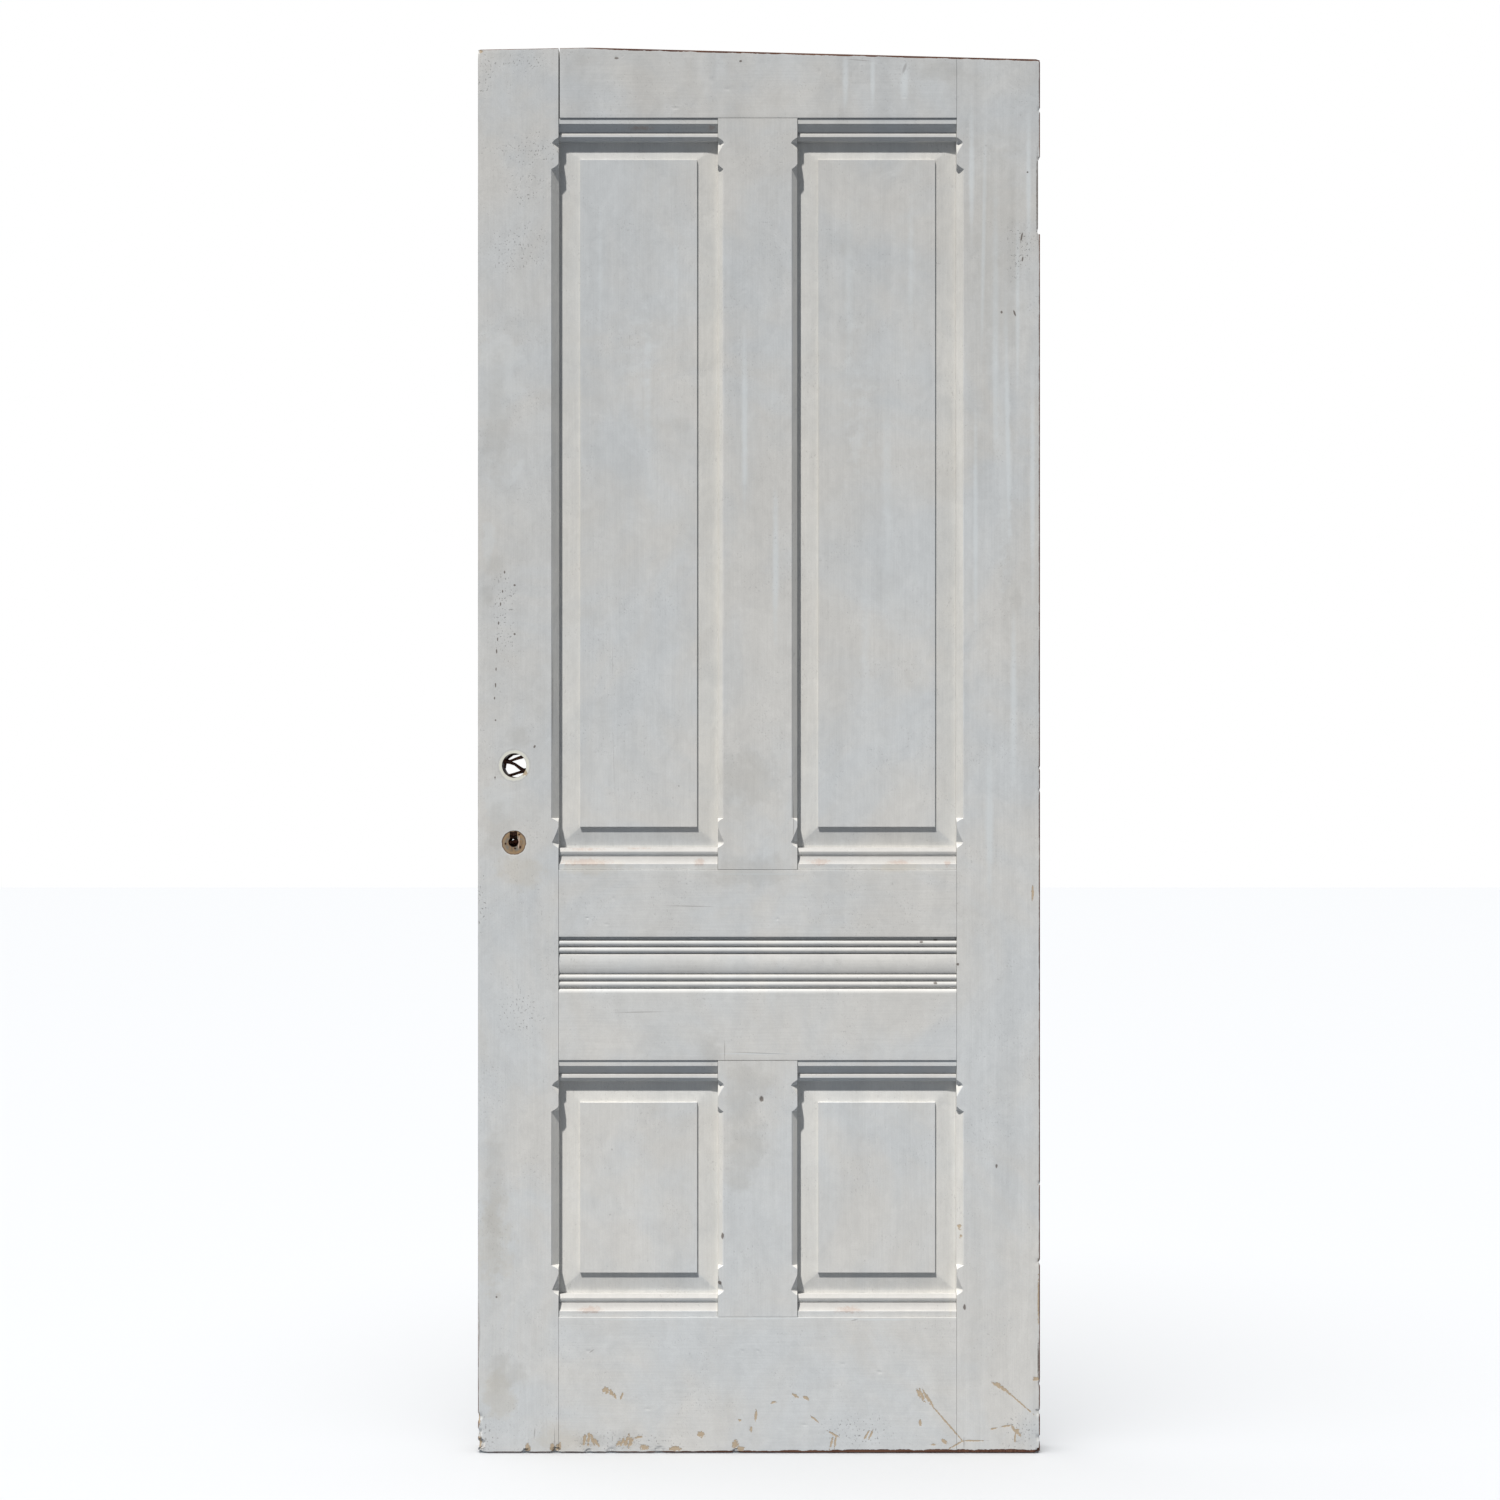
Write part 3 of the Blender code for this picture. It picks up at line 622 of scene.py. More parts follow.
PINK_MARKS = [
    (586, 861, 60, 9), (700, 861, 14, 9), (585, 848, 40, 6), (640, 847, 40, 4), (820, 861, 26, 8),
    (900, 861, 30, 6), (948, 862, 8, 8), (590, 1309, 30, 8), (850, 1309, 30, 8), (640, 126, 30, 5),
    (712, 126, 10, 6), (712, 142, 10, 6),
]
FINE_LINES = [
    (613.5, 757, 1.6, 120, -2), (612.4, 660, 1.2, 60), (725, 1050, 1.2, 26), (964.4, 1442, 1.6, 15),
    (553, 700, 1.4, 120), (794, 820, 1.2, 60), (760, 1052, 70, 1.2, 2), (640, 1011, 60, 1.2, -1),
    (690, 905, 60, 1.2, 1), (592, 1350, 8, 1.8, -35), (555, 1440, 1.4, 34), (498, 1437, 2.4, 1.8),
    (490, 1430, 2.4, 1.6), (493, 1441, 3, 1.8, 10), (486, 1426, 2, 5), (535, 1432, 1.6, 14, 4),
    (860, 59, 30, 1.4, 4), (905, 67, 4, 14, 20), (479.6, 1420, 2.4, 14), (481, 1436, 3, 12, -20),
    (483.5, 1446, 7, 6), (486, 1438, 3, 4), (480, 1330, 1.6, 50), (855, 1318.8, 9, 1.6, -14),
]
PIT_ZONES = [
    (533, 150, 80, 50), (528, 186, 50, 44), (518, 246, 74, 70), (505, 610, 30, 130), (482, 905, 14, 90),
    (520, 1010, 60, 60), (600, 1440, 80, 30), (486, 75, 22, 60), (1020, 1430, 50, 50), (860, 1430, 90, 40),
    (1020, 250, 40, 80), (487, 1435, 30, 50), (520, 60, 80, 20), (640, 1440, 120, 20),
]
DARK_SPOTS = [
    (1037.6, 193, 2.4, 118), (1038.6, 1360, 1.8, 60), (529, 1449, 6, 4), (554, 1449, 6, 4),
    (505, 571, 2.2, 4), (503, 590, 2, 4), (501, 603, 2, 5), (499, 622, 1.8, 5), (498, 638, 1.8, 5),
    (497, 650, 2, 6), (496.5, 668, 1.8, 5), (496, 684, 2, 6), (495, 697, 1.8, 4), (496, 719, 2.4, 2.4),
    (515, 584, 3, 3), (515, 633, 3, 3), (1022, 236, 2.4, 14, 10), (1023, 258, 2.4, 7, 10),
    (1015, 312, 2.6, 10, -20), (1002, 311, 3, 4), (1028, 171, 2.6, 2.6), (997, 1165, 3, 6),
    (762, 1098, 6, 8), (936, 939, 6, 3), (922, 941, 5, 3), (936, 982, 5, 4), (617, 57, 6, 3),
    (741, 60, 4, 3), (612, 1150, 4, 6), (610, 1215, 4, 6), (827, 1231, 4, 4), (662, 738, 3, 3),
    (679, 785, 3, 3), (673, 797, 2.4, 5), (497, 1296, 3, 3), (624, 740, 2, 2), (643, 725, 2, 2),
    (535, 745.4, 3, 4, 30), (495.4, 776.5, 2, 3), (958.3, 963, 4, 4), (723, 1235, 4, 9), (720, 1282, 6, 6),
    (965, 1306, 4, 8),
]


def marks_on(spots, node_names):
    """The marks that touch any of some nodes."""
    boxes = [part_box(node) for node in node_names]
    found = []
    for spot in spots:
        place = on_leaf(*seen_at(*spot[:2]))
        reach = max(spot[2:4]) / 2000
        if any(low.x - reach < place.x < high.x + reach and low.z - reach < place.z < high.z + reach
               for low, high in boxes):
            found.append(spot)
    return found


# Paint

class PaintSettings(bpy.types.PropertyGroup):
    cool: colour_setting("Cool paint", "Cooler tone of the grey-white paint", (0.585, 0.602, 0.606))
    warm: colour_setting("Warm paint", "Warmer tone of the grey-white paint", (0.622, 0.612, 0.585))
    # The light tone goes on slopes as far as they turn up or sideways: painted light from the high key, mixed
    # with a somewhat lighter paint of the chamfers and bevels.
    light: colour_setting("Light paint", "Cleaner, lighter paint of the slopes", (0.66, 0.645, 0.605))
    # The cream tone goes on the upturned faces of the mouldings and the band: a cream tint, and painted shade
    # that darkens the faces lit by the key.
    cream_and_painted_shade: colour_setting("Cream paint", "Older, creamier paint of the mouldings", (0.500, 0.489, 0.468))
    # This grey is dirt in the grey marks, and painted shade on the slopes that hang over.
    grime_and_shade: colour_setting("Grime", "Grey dirt rubbed into the paint", (0.42, 0.41, 0.38))
    wood: colour_setting("Scuffed wood", "Tan wood where paint is knocked off", (0.36, 0.255, 0.15))
    edge_wood: colour_setting("Edge wood", "Red-brown wood of the bare edges", (0.075, 0.028, 0.018))
    deep_wood: colour_setting("Deep wood", "Dark wood inside the holes", (0.048, 0.022, 0.015))


def edge_distances(place):
    """Distances in metres: to the sides, to the faces and to the head or foot of the leaf, then from
    the front, from the foot and from the sloping top."""
    x, y, z = split(place)
    from_front = minus(y, FRONT)
    from_foot = minus(z, FOOT)
    past_peak = minus(x, LOCK_EDGE + TOP_PEAK_ACROSS)
    slope = least(times(past_peak, LOCK_FALL), times(past_peak, -HINGE_FALL))
    from_top = minus(plus(TOP, slope), z)
    sides = least(minus(x, LOCK_EDGE), minus(HINGE_EDGE, x))
    faces = least(from_front, minus(BACK, y))
    return sides, faces, least(from_foot, from_top), from_front, from_foot, from_top


def drawn_out(grain, share):
    """A stretch that draws a pattern out along the grain."""
    return (1, 1, share) if grain == UPRIGHT else (share, 1, 1)


def scaled_noise(place, scale, detail, spread):
    """Noise around zero, for ragged borders."""
    return times(minus(cloud(place, scale, detail, 0.67), 0.5), spread)


def from_axis(place, across, up):
    """Distance in millimetres from a line through the thickness, at a place on the leaf."""
    offset = vector_calc("SUBTRACT", place, on_leaf(across, up))
    return length_of(vector_calc("MULTIPLY", offset, Vector((1000, 0, 1000))))


def ring_at_knob_hole(place, colour, ragged):
    """Pale older paint round the knob hole, where a rose lay, with a thin line of dirt round it."""
    old_paint = (0.78, 0.77, 0.67)
    dirt = (0.35, 0.34, 0.30)
    across, up, radius = KNOB_HOLE
    reach = plus(from_axis(place, across, up), ragged)
    ring = times(steps(reach, radius + 5.2, radius + 3.4), 0.85)
    line = times(steps(reach, radius + 5.0, radius + 5.8), steps(reach, radius + 7.2, radius + 6.0), 0.22)
    return blend_colour(line, blend_colour(ring, colour, old_paint), dirt)


# The bare disc round the keyhole: its middle, a pale splinter and the nail holes, whose shade is painted as
# dark spots, placed as the marks
DISC_MIDDLE = (514.4, 841.7)
DISC_SPLINTER = (519.2, 841.0, 2.0, 19, 4)
DISC_NAIL_HOLE_SHADE = [
    (505.9, 842.6, 3.0, 3.6), (520.6, 846.2, 3.0, 4.4), (515.6, 847.3, 3.6, 2.4),
    (519.6, 833.4, 4.0, 3.0), (515.8, 830.4, 3.4, 5.0),
]


def disc_at_keyhole(place, colour, ragged, depth):
    """Bare wood round the keyhole, where a plate lay, and a pale lip of paint round it."""
    pale_lip = (0.72, 0.72, 0.70)
    brown_wood = (0.21, 0.155, 0.105)
    tan_wood = (0.34, 0.215, 0.11)
    grey_wood = (0.22, 0.20, 0.165)
    rubbed_wood = (0.40, 0.27, 0.15)
    dark_rim = (0.11, 0.075, 0.06)
    fresh_wood = (0.55, 0.40, 0.31)
    nail_hole_shade = (0.05, 0.02, 0.008)
    reach = plus(from_axis(place, *seen_at(*DISC_MIDDLE)), ragged)
    near_face = steps(depth, 0.004, 0.002)
    lip = times(steps(reach, 19.8, 18.4), near_face, 0.5)
    disc = times(steps(reach, 18.0, 17.3), near_face)
    streak = cloud(place, 330.0, 4.0, 0.65, stretch=(1, 1, 0.25), twist=0.8)
    patch = cloud(place, 120.0, 3.0, 0.6)
    wood = blend_colour(steps(streak, 0.35, 0.65), brown_wood, tan_wood)
    for share, tint in (
        (steps(patch, 0.42, 0.62), grey_wood),
        (times(steps(reach, 11.5, 15.0), 0.6), rubbed_wood),
        (times(steps(reach, 15.6, 17.0), 0.8), dark_rim),
        (mark(place, DISC_SPLINTER, times(ragged, 0.2), 0.3), fresh_wood),
        # The nail holes' shade, painted as dark spots.
        (all_marks(place, DISC_NAIL_HOLE_SHADE, times(ragged, 0.3), 0.3), nail_hole_shade),
    ):
        wood = blend_colour(share, wood, tint)
    return blend_colour(disc, blend_colour(lip, colour, pale_lip), wood), disc


def hole_walls(place):
    """Where the walls of the knob hole and the keyhole are, and a hair of the face round them."""
    across, up, radius = KNOB_HOLE
    knob_wall = steps(from_axis(place, across, up), radius + 0.35, radius + 0.15)
    across, up, radius = KEYHOLE
    half_width, rise = KEYHOLE_SLOT
    round_part = minus(from_axis(place, across, up), radius)
    x, _, z = split(vector_calc("SUBTRACT", place, on_leaf(across, up)))
    beside = minus(times(calc("ABSOLUTE", x), 1000), half_width)
    above = minus(times(z, 1000), rise)
    slot_part = most(beside, above, times(z, -1000))
    return most(knob_wall, steps(least(round_part, slot_part), 0.35, 0.15))


def broad_tone(place, up, paint, grain, drips):
    """Cool and warm clouds of the paint, its shade, and the fields of its patches, mottling, streaks,
    brush marks and speckle."""
    broad = cloud(place, 4.0, 4.0, 0.6, twist=0.6)
    tone = blend_colour(steps(broad, 0.36, 0.64), paint.cool, paint.warm)
    brush_marks = drawn_out(grain, 0.025)
    fields = {
        "blotch": (cloud(place, 17.0, 4.0, 0.62, stretch=(1, 1, 0.7), twist=0.8), 0.030),
        "mottle": (cloud(place, 75.0, 4.0, 0.66, stretch=(1, 1, 0.7), twist=0.5), 0.028),
        "streak": (cloud(place, 30.0, 3.0, 0.55, stretch=(1, 1, 0.05), twist=0.3), 0.014 + 0.03 * drips),
        "brushed": (cloud(place, 420.0, 3.0, 0.6, stretch=brush_marks, twist=0.15), 0.022),
        "speckle": (cloud(place, 700.0, 2.0, 0.5), 0.020),
    }
    # The paint grows lighter from the head down to the foot.
    at_foot, at_head = 1.115, 0.945
    shade = steps(up, 0.0, TOP - FOOT, at_foot, at_head, smooth=False)
    for field, spread in fields.values():
        shade = times(shade, steps(field, 0.3, 0.7, 1 - spread, 1 + spread))
    return tone, shade, {name: field for name, (field, _) in fields.items()}


def tilt_light_and_shade(tone, behind_face, blotch, lit_slope_tone, tilts, grime_and_shade):
    """Slopes take the given tone as far as they tilt upwards, and a grey where they hang over: painted light
    and painted shade, set by which way each face turns.
    """
    tilt = split(add_node(tree_of(tone), "ShaderNodeTexCoord").outputs["Normal"])[2]
    share = times(behind_face, steps(tilt, *tilts), steps(blotch, 0.25, 0.75, 0.8, 1.15))
    # Painted shade: slopes that turn gently down take the grey.
    hanging_painted_shade = times(steps(tilt, -0.05, -0.09), steps(tilt, -0.30, -0.20))
    tone = blend_colour(share, tone, lit_slope_tone)
    return blend_colour(times(behind_face, hanging_painted_shade, 0.35), tone, grime_and_shade)


def pits(place, nodes, ragged):
    """Where small pits break the paint, thick in some zones."""
    field = cloud(place, 420.0, 2.0, 0.5, stretch=(1, 1, 0.6))
    where = steps(cloud(place, 22.0, 3.0, 0.6), 0.50, 0.62, 0.0, 0.35)
    zone = all_marks(place, marks_on(PIT_ZONES, nodes), ragged, 0.5)
    if zone is not None:
        where = most(where, zone)
    return times(steps(field, 0.615, 0.67), where)


def bare_edges(place, grain, distances):
    """How far the paint is gone from the arrises and the narrow outer faces of the leaf."""
    sides, faces, ends, _, up, from_top = distances
    across = minus(split(place)[0], LOCK_EDGE)
    beyond_peak = steps(across, TOP_PEAK_ACROSS - 0.02, TOP_PEAK_ACROSS + 0.05)
    at_top = times(steps(from_top, 0.004, 0.003), plus(0.0010, times(beyond_peak, 0.0016)))
    at_foot = times(steps(up, 0.008, 0.006), steps(across, 0.10, 0.70, 0.0012, 0.0040))
    low_down = steps(up, 0.1, 0.30, 0.0009, 0.00035)
    at_hinges = steps(across, DOOR_WIDTH - 0.02, DOOR_WIDTH - 0.01, 0.0, 0.0015)
    patchy = steps(cloud(place, 45.0, 4.0, 0.7), 0.30, 0.62, 0.75, 1.3)
    width = times(most(low_down, at_hinges, at_top, at_foot), patchy)
    arris = middle_of(sides, faces, ends)
    bare_arris = steps(minus(arris, width), 0.0002, -0.0002)
    edge_face = steps(least(sides, ends), 0.0006, 0.0003)
    flakes = cloud(place, 60.0, 6.0, 0.72, stretch=drawn_out(grain, 0.16), twist=0.4)
    return most(bare_arris, times(edge_face, steps(flakes, 0.52, 0.62)))


# The hinge gains in metres: their middles above the foot, their length, and the old screws' places
# up and across from the middle of a gain
HINGE_MIDDLES = (0.332, 1.818)
HINGE_LENGTH = 0.112
SCREW_LINE = (FRONT + BACK) / 2 + 0.004
SCREW_PLACES = ((-0.043, 0.005), (-0.021, -0.006), (0.0, 0.005), (0.021, -0.006), (0.043, 0.005))


def gain_floors(place, depth):
    """The bare floors of the hinge gains, and the old screw holes in them."""
    x, _, z = split(place)
    on_floor = steps(calc("ABSOLUTE", x), 0.0005, 0.0003)
    behind_lip = steps(depth, 0.0002, 0.0005)
    spans = []
    holes = []
    for middle in HINGE_MIDDLES:
        off = calc("ABSOLUTE", minus(z, FOOT + middle))
        spans.append(steps(off, HINGE_LENGTH / 2 + 0.0004, HINGE_LENGTH / 2))
        for up, across in SCREW_PLACES:
            screw = Vector((0.0, SCREW_LINE + across, FOOT + middle + up))
            reach = length_of(vector_calc("SUBTRACT", place, screw))
            holes.append(steps(reach, 0.0025, 0.0019))
    return times(most(*spans), on_floor, behind_lip), most(*holes)


def bare_gains(place, colour, wood_grain, depth):
    """Bare pine on the floors of the gains, browned by the hinges, with black spots of painted shade at the
    screw holes.
    """
    brown_pine = (0.27, 0.17, 0.095)
    pale_pine = (0.40, 0.27, 0.16)
    screw_hole_shade = (0.02, 0.015, 0.012)
    floors, holes = gain_floors(place, depth)
    pine = blend_colour(steps(wood_grain, 0.35, 0.65), brown_pine, pale_pine)
    return blend_colour(floors, colour, blend_colour(holes, pine, screw_hole_shade))


# How far a face tilts upwards before it takes the painted light tone of the slopes: none of it, and all of it
SIDES_AND_UP = (-0.09, -0.02)
UPWARDS_ONLY = (0.02, 0.30)

# Tones of the marks and of the bare wood, beside those of the paint settings
PALE_PAINT = (0.665, 0.685, 0.685)
PALE_RUN = (0.69, 0.725, 0.735)
CREAM_STAIN = (0.56, 0.51, 0.42)
CREAM_HIGHLIGHT = (0.66, 0.625, 0.52)
PINK_WOOD = (0.43, 0.31, 0.25)
FINE_DIRT = (0.25, 0.23, 0.22)
DARK_DIRT = (0.10, 0.075, 0.06)
PIT_DIRT = (0.20, 0.19, 0.18)
PALE_WOOD = (0.64, 0.50, 0.33)
RED_WOOD = (0.155, 0.075, 0.045)


def paint_material(name, nodes, grain, paint, lit_slope_tone=None, lit_slope_share=0.0, tilts=SIDES_AND_UP,
                   drips=0.0):
    """Old brushed paint on pine, with the wear and the marks that lie on the given nodes.

    Slopes behind the boards' own faces take painted light and shade by which way they turn: a lighter tone
    where they turn up or sideways, a darker cream on the upturned faces of the mouldings and band, and a grey
    where they hang over.
    """
    material, tree, shader = new_material(name)
    place = own_place(tree)
    distances = edge_distances(place)
    depth, up = distances[3:5]
    tone, shade, fields = broad_tone(place, up, paint, grain, drips)
    if lit_slope_tone is not None:
        own_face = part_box(nodes[0])[0].y - FRONT
        behind_face = steps(depth, own_face + 0.0004, own_face + 0.0024, 0.0, lit_slope_share)
        tone = tilt_light_and_shade(tone, behind_face, fields["blotch"], lit_slope_tone, tilts, paint.grime_and_shade)
    grey = add_node(tree, "ShaderNodeCombineColor")
    for socket in grey.inputs:
        feed(socket, shade)
    colour = blend_colour(1.0, tone, grey.outputs[0], "MULTIPLY")

    ragged_fine = scaled_noise(place, 260.0, 5.0, 3.2)
    ragged_slow = scaled_noise(place, 55.0, 5.0, 2.6)
    for spots, softness, ragged, tint, share in (
        (PALE_MARKS, 0.25, ragged_slow, PALE_PAINT, 0.40),
        (PALE_STREAKS, 0.7, times(ragged_slow, 0.6), PALE_RUN, 0.60),
        (CREAM_MARKS, 0.5, ragged_slow, CREAM_STAIN, 0.32),
        # painted highlight on the faces turned to the key
        (CREAM_HIGHLIGHT_LINES, 0.7, times(ragged_slow, 0.25), CREAM_HIGHLIGHT, 0.45),
        (PINK_MARKS, 0.6, ragged_fine, PINK_WOOD, 0.50),
        (GREY_MARKS, 0.55, ragged_slow, paint.grime_and_shade, 0.28),
        (FINE_LINES, 0.6, times(ragged_fine, 0.2), FINE_DIRT, 0.5),
        (DARK_SPOTS, 0.3, times(ragged_fine, 0.4), DARK_DIRT, 0.8),
    ):
        mask = all_marks(place, marks_on(spots, nodes), ragged, softness)
        if mask is not None:
            colour = blend_colour(times(mask, share), colour, tint)
    pitted = pits(place, nodes, ragged_slow)
    colour = blend_colour(times(pitted, 0.55), colour, PIT_DIRT)

    # Wood that shows at the lock's holes, through scuffs, in the gains and on the outer edges
    wood_grain = cloud(place, 300.0, 4.0, 0.65, stretch=drawn_out(grain, 0.025), twist=0.3)
    wood = blend_colour(wood_grain, paint.wood, PALE_WOOD)
    dark_wood = blend_colour(steps(wood_grain, 0.36, 0.66), paint.edge_wood, RED_WOOD)
    scuffs = all_marks(place, marks_on(BARE_MARKS, nodes), ragged_fine, 0.12)
    sunken = []
    if "lock_stile" in nodes:
        ragged_holes = scaled_noise(place, 180.0, 4.0, 3.0)
        colour = ring_at_knob_hole(place, colour, ragged_holes)
        colour, disc = disc_at_keyhole(place, colour, ragged_holes, depth)
        colour = blend_colour(hole_walls(place), colour, paint.deep_wood)
        sunken.append(disc)
    if scuffs is not None:
        colour = blend_colour(times(scuffs, 0.85), colour, wood)
        sunken.append(scuffs)
    if "hinge_stile" in nodes:
        colour = bare_gains(place, colour, wood_grain, depth)
    worn = bare_edges(place, grain, distances)
    feed(shader.inputs["Base Color"], blend_colour(worn, colour, dark_wood))

    rough = steps(fields["blotch"], 0.3, 0.7, 0.50, 0.66)
    feed(shader.inputs["Roughness"], plus(rough, times(worn, 0.2)))
    shader.inputs["Specular IOR Level"].default_value = 0.3

    # Relief in metres: brush marks, lumps, pits, and the sunken wood of scuffs and edges
    rises = [(fields["brushed"], 0.00007), (fields["speckle"], 0.00003), (fields["blotch"], 0.0007),
             (fields["mottle"], 0.00022), (pitted, -0.0003), (worn, -0.0002)]
    if sunken:
        rises.append((most(*sunken), -0.0004))
    height = plus(*[times(field, rise) for field, rise in rises])
    add_relief(shader, height, 0.8)
    return material


def torn_wood_material(paint):
    """Dark broken wood with reddish and greyish fibres."""
    red_fibre = (0.34, 0.115, 0.060)
    grey_fibre = (0.17, 0.11, 0.060)
    material, tree, shader = new_material("torn_wood")
    place = own_place(tree)
    fibre = cloud(place, 500.0, 4.0, 0.7, stretch=(0.3, 1, 1), twist=0.6)
    patch = cloud(place, 160.0, 3.0, 0.6)
    colour = blend_colour(steps(fibre, 0.40, 0.70), paint.deep_wood, red_fibre)
    colour = blend_colour(steps(patch, 0.5, 0.75, 0.0, 0.5), colour, grey_fibre)
    feed(shader.inputs["Base Color"], colour)
    feed(shader.inputs["Roughness"], steps(fibre, 0.3, 0.7, 0.65, 0.9))
    add_relief(shader, times(fibre, 0.0008), 0.9)
    return material


# Torn wood left in the lock's holes. Each sliver has its depth behind the front and its stations, from
# end to end: millimetres across and up from the hole's middle, and half the thickness there
KNOB_SLIVERS = [
    (16, [(-12.5, 5.6, 2.2), (-6, 6.8, 1.9), (2, 9.8, 2.3), (10.4, 12.6, 2.7), (15.0, 14.0, 2.8)]),
    (19, [(-18.4, 7.0, 4.2), (-13, 5.8, 3.4), (-8, 4.4, 2.5), (-0.5, 1.4, 2.1), (6.5, -4.0, 2.4),
          (11.4, -7.2, 2.9), (17.4, -7.6, 3.8)]),
    (23, [(-11.0, -15.2, 2.3), (-3, -13.0, 2.1), (4.8, -10.4, 2.1), (10.6, -8.8, 2.6), (16.4, -9.6, 3.0)]),
    (34, [(-17.0, -4.0, 1.8), (-16.4, 4.4, 2.4), (-12.4, 11.4, 2.4), (-5, 16.2, 2.0), (4, 17.2, 1.5)]),
]
KEYHOLE_SLIVERS = [
    (8, [(-6.0, 13.2, 2.6), (0, 12.2, 4.0), (5.8, 13.0, 3.0)]),
    (16, [(-6.6, 7.2, 3.8), (0.2, 6.6, 3.4), (6.4, 7.0, 3.2)]),
    (14, [(-7.4, -1.6, 2.8), (-1.8, -0.5, 2.6), (0.6, 0.9, 2.9), (7.4, 1.6, 3.2)]),
    (20, [(-6.0, -5.8, 2.4), (0.6, -5.0, 3.3), (6.4, -4.0, 3.8)]),
    (24, [(-6.2, -1.4, 1.4), (-5.4, 3.0, 1.8), (-4.8, 9.5, 1.8)]),
]
# The seed of the slivers' ragged wobble, so that it is the same each run
SLIVER_SEED = 3


def sliver(bm, centre, depth, stations):
    """A ragged rod through a few stations, closed at both ends."""
    points = [Vector((centre.x + across / 1000, FRONT + depth / 1000, centre.z + up / 1000))
              for across, up, _ in stations]
    last = len(points) - 1
    rings = []
    for number, point in enumerate(points):
        along = points[min(number + 1, last)] - points[max(number - 1, 0)]
        turn = along.to_track_quat("Z", "Y").to_matrix().to_4x4()
        made = bmesh.ops.create_circle(
            bm, cap_ends=number in (0, last), segments=9, radius=stations[number][2] / 1000,
            matrix=Matrix.Translation(point) @ turn)
        verts = set(made["verts"])
        rings.append([edge for edge in bm.edges if edge.verts[0] in verts and edge.verts[1] in verts])
    for first, second in zip(rings, rings[1:]):
        bmesh.ops.bridge_loops(bm, edges=first + second)


# Operators for the pieces

def paint_board(scene, node, grain, lit_slope_share=0.0, drips=0.2):
    """Dress a stile, rail or muntin in paint of its own, with painted light on its slopes if it has any: a
    lighter tone where they turn up or sideways.
    """
    paint = scene.door_paint
    lit_slope_tone = paint.light if lit_slope_share else None
    material = paint_material(node + "_old_paint", [node], grain, paint, lit_slope_tone, lit_slope_share, drips=drips)
    dress_board(node, grain, material, scene.door_shape)


class DOOR_OT_stiles(bpy.types.Operator):
    """Dress the two full-height side boards"""
    bl_idname = "door.stiles"
    bl_label = "Stiles"

    def execute(self, context):
        paint_board(context.scene, "lock_stile", UPRIGHT, 0.8)
        paint_board(context.scene, "hinge_stile", UPRIGHT, 0.8, drips=1.0)
        return {"FINISHED"}


class DOOR_OT_rails(bpy.types.Operator):
    """Dress the four cross boards"""
    bl_idname = "door.rails"
    bl_label = "Rails"

    def execute(self, context):
        paint_board(context.scene, "top_rail", LEVEL, drips=0.8)
        for node in ("upper_lock_rail", "lower_lock_rail", "bottom_rail"):
            paint_board(context.scene, node, LEVEL)
        return {"FINISHED"}


class DOOR_OT_muntins(bpy.types.Operator):
    """Dress the two uprights between the panels"""
    bl_idname = "door.muntins"
    bl_label = "Muntins"

    def execute(self, context):
        for node in ("upper_muntin", "lower_muntin"):
            paint_board(context.scene, node, UPRIGHT, 0.8)
        return {"FINISHED"}


class DOOR_OT_band(bpy.types.Operator):
    """Dress the reeded board between the lock rails"""
    bl_idname = "door.band"
    bl_label = "Reeded band"

    def execute(self, context):
        paint = context.scene.door_paint
        node = "reeded_band"
        # The cream tone on the upturned faces is a cream tint with painted shade on the faces lit by the key.
        material = paint_material("band_old_paint", [node], LEVEL, paint, paint.cream_and_painted_shade, 1.0, UPWARDS_ONLY)
        dress_strip(node, material, context.scene.door_shape, 50)
        return {"FINISHED"}


class DOOR_OT_panels(bpy.types.Operator):
    """Dress the four raised panels"""
    bl_idname = "door.panels"
    bl_label = "Panels"

    def execute(self, context):
        paint = context.scene.door_paint
        for node in sorted(frame["nodes"]):
            if node.endswith("_panel"):
                material = paint_material(
                    node + "_old_paint", [node], UPRIGHT, paint, paint.light, 0.55, drips=0.4)
                dress_panel(node, material, context.scene.door_shape)
        return {"FINISHED"}


class DOOR_OT_mouldings(bpy.types.Operator):
    """Dress the strips at the head and foot of each panel"""
    bl_idname = "door.mouldings"
    bl_label = "Mouldings"

    def execute(self, context):
        paint = context.scene.door_paint
        for end in ("head", "foot"):
            nodes = [node for node in sorted(frame["nodes"]) if node.endswith(f"_{end}_moulding")]
            # The cream tone on the upturned faces is a cream tint with painted shade on the faces lit by the
            # key.
            material = paint_material(
                f"{end}_moulding_old_paint", nodes, LEVEL, paint, paint.cream_and_painted_shade, 1.0, UPWARDS_ONLY)
            for node in nodes:
                dress_strip(node, material, context.scene.door_shape, 28)
        return {"FINISHED"}


class DOOR_OT_torn_wood(bpy.types.Operator):
    """Leave torn slivers of wood in the two holes of the missing lock"""
    bl_idname = "door.torn_wood"
    bl_label = "Torn wood"

    def execute(self, context):
        material = torn_wood_material(context.scene.door_paint)
        noise.seed_set(SLIVER_SEED)
        for name, hole, slivers in (("knob_hole_slivers", KNOB_HOLE, KNOB_SLIVERS),
                                    ("keyhole_slivers", KEYHOLE, KEYHOLE_SLIVERS)):
            bm = bmesh.new()
            for depth, stations in slivers:
                sliver(bm, on_leaf(*hole[:2]), depth, stations)
            for vert in bm.verts:
                vert.co += noise.noise_vector(vert.co * 300) * 0.0003
            finish_piece(name, bm, material, None, 60)
        return {"FINISHED"}


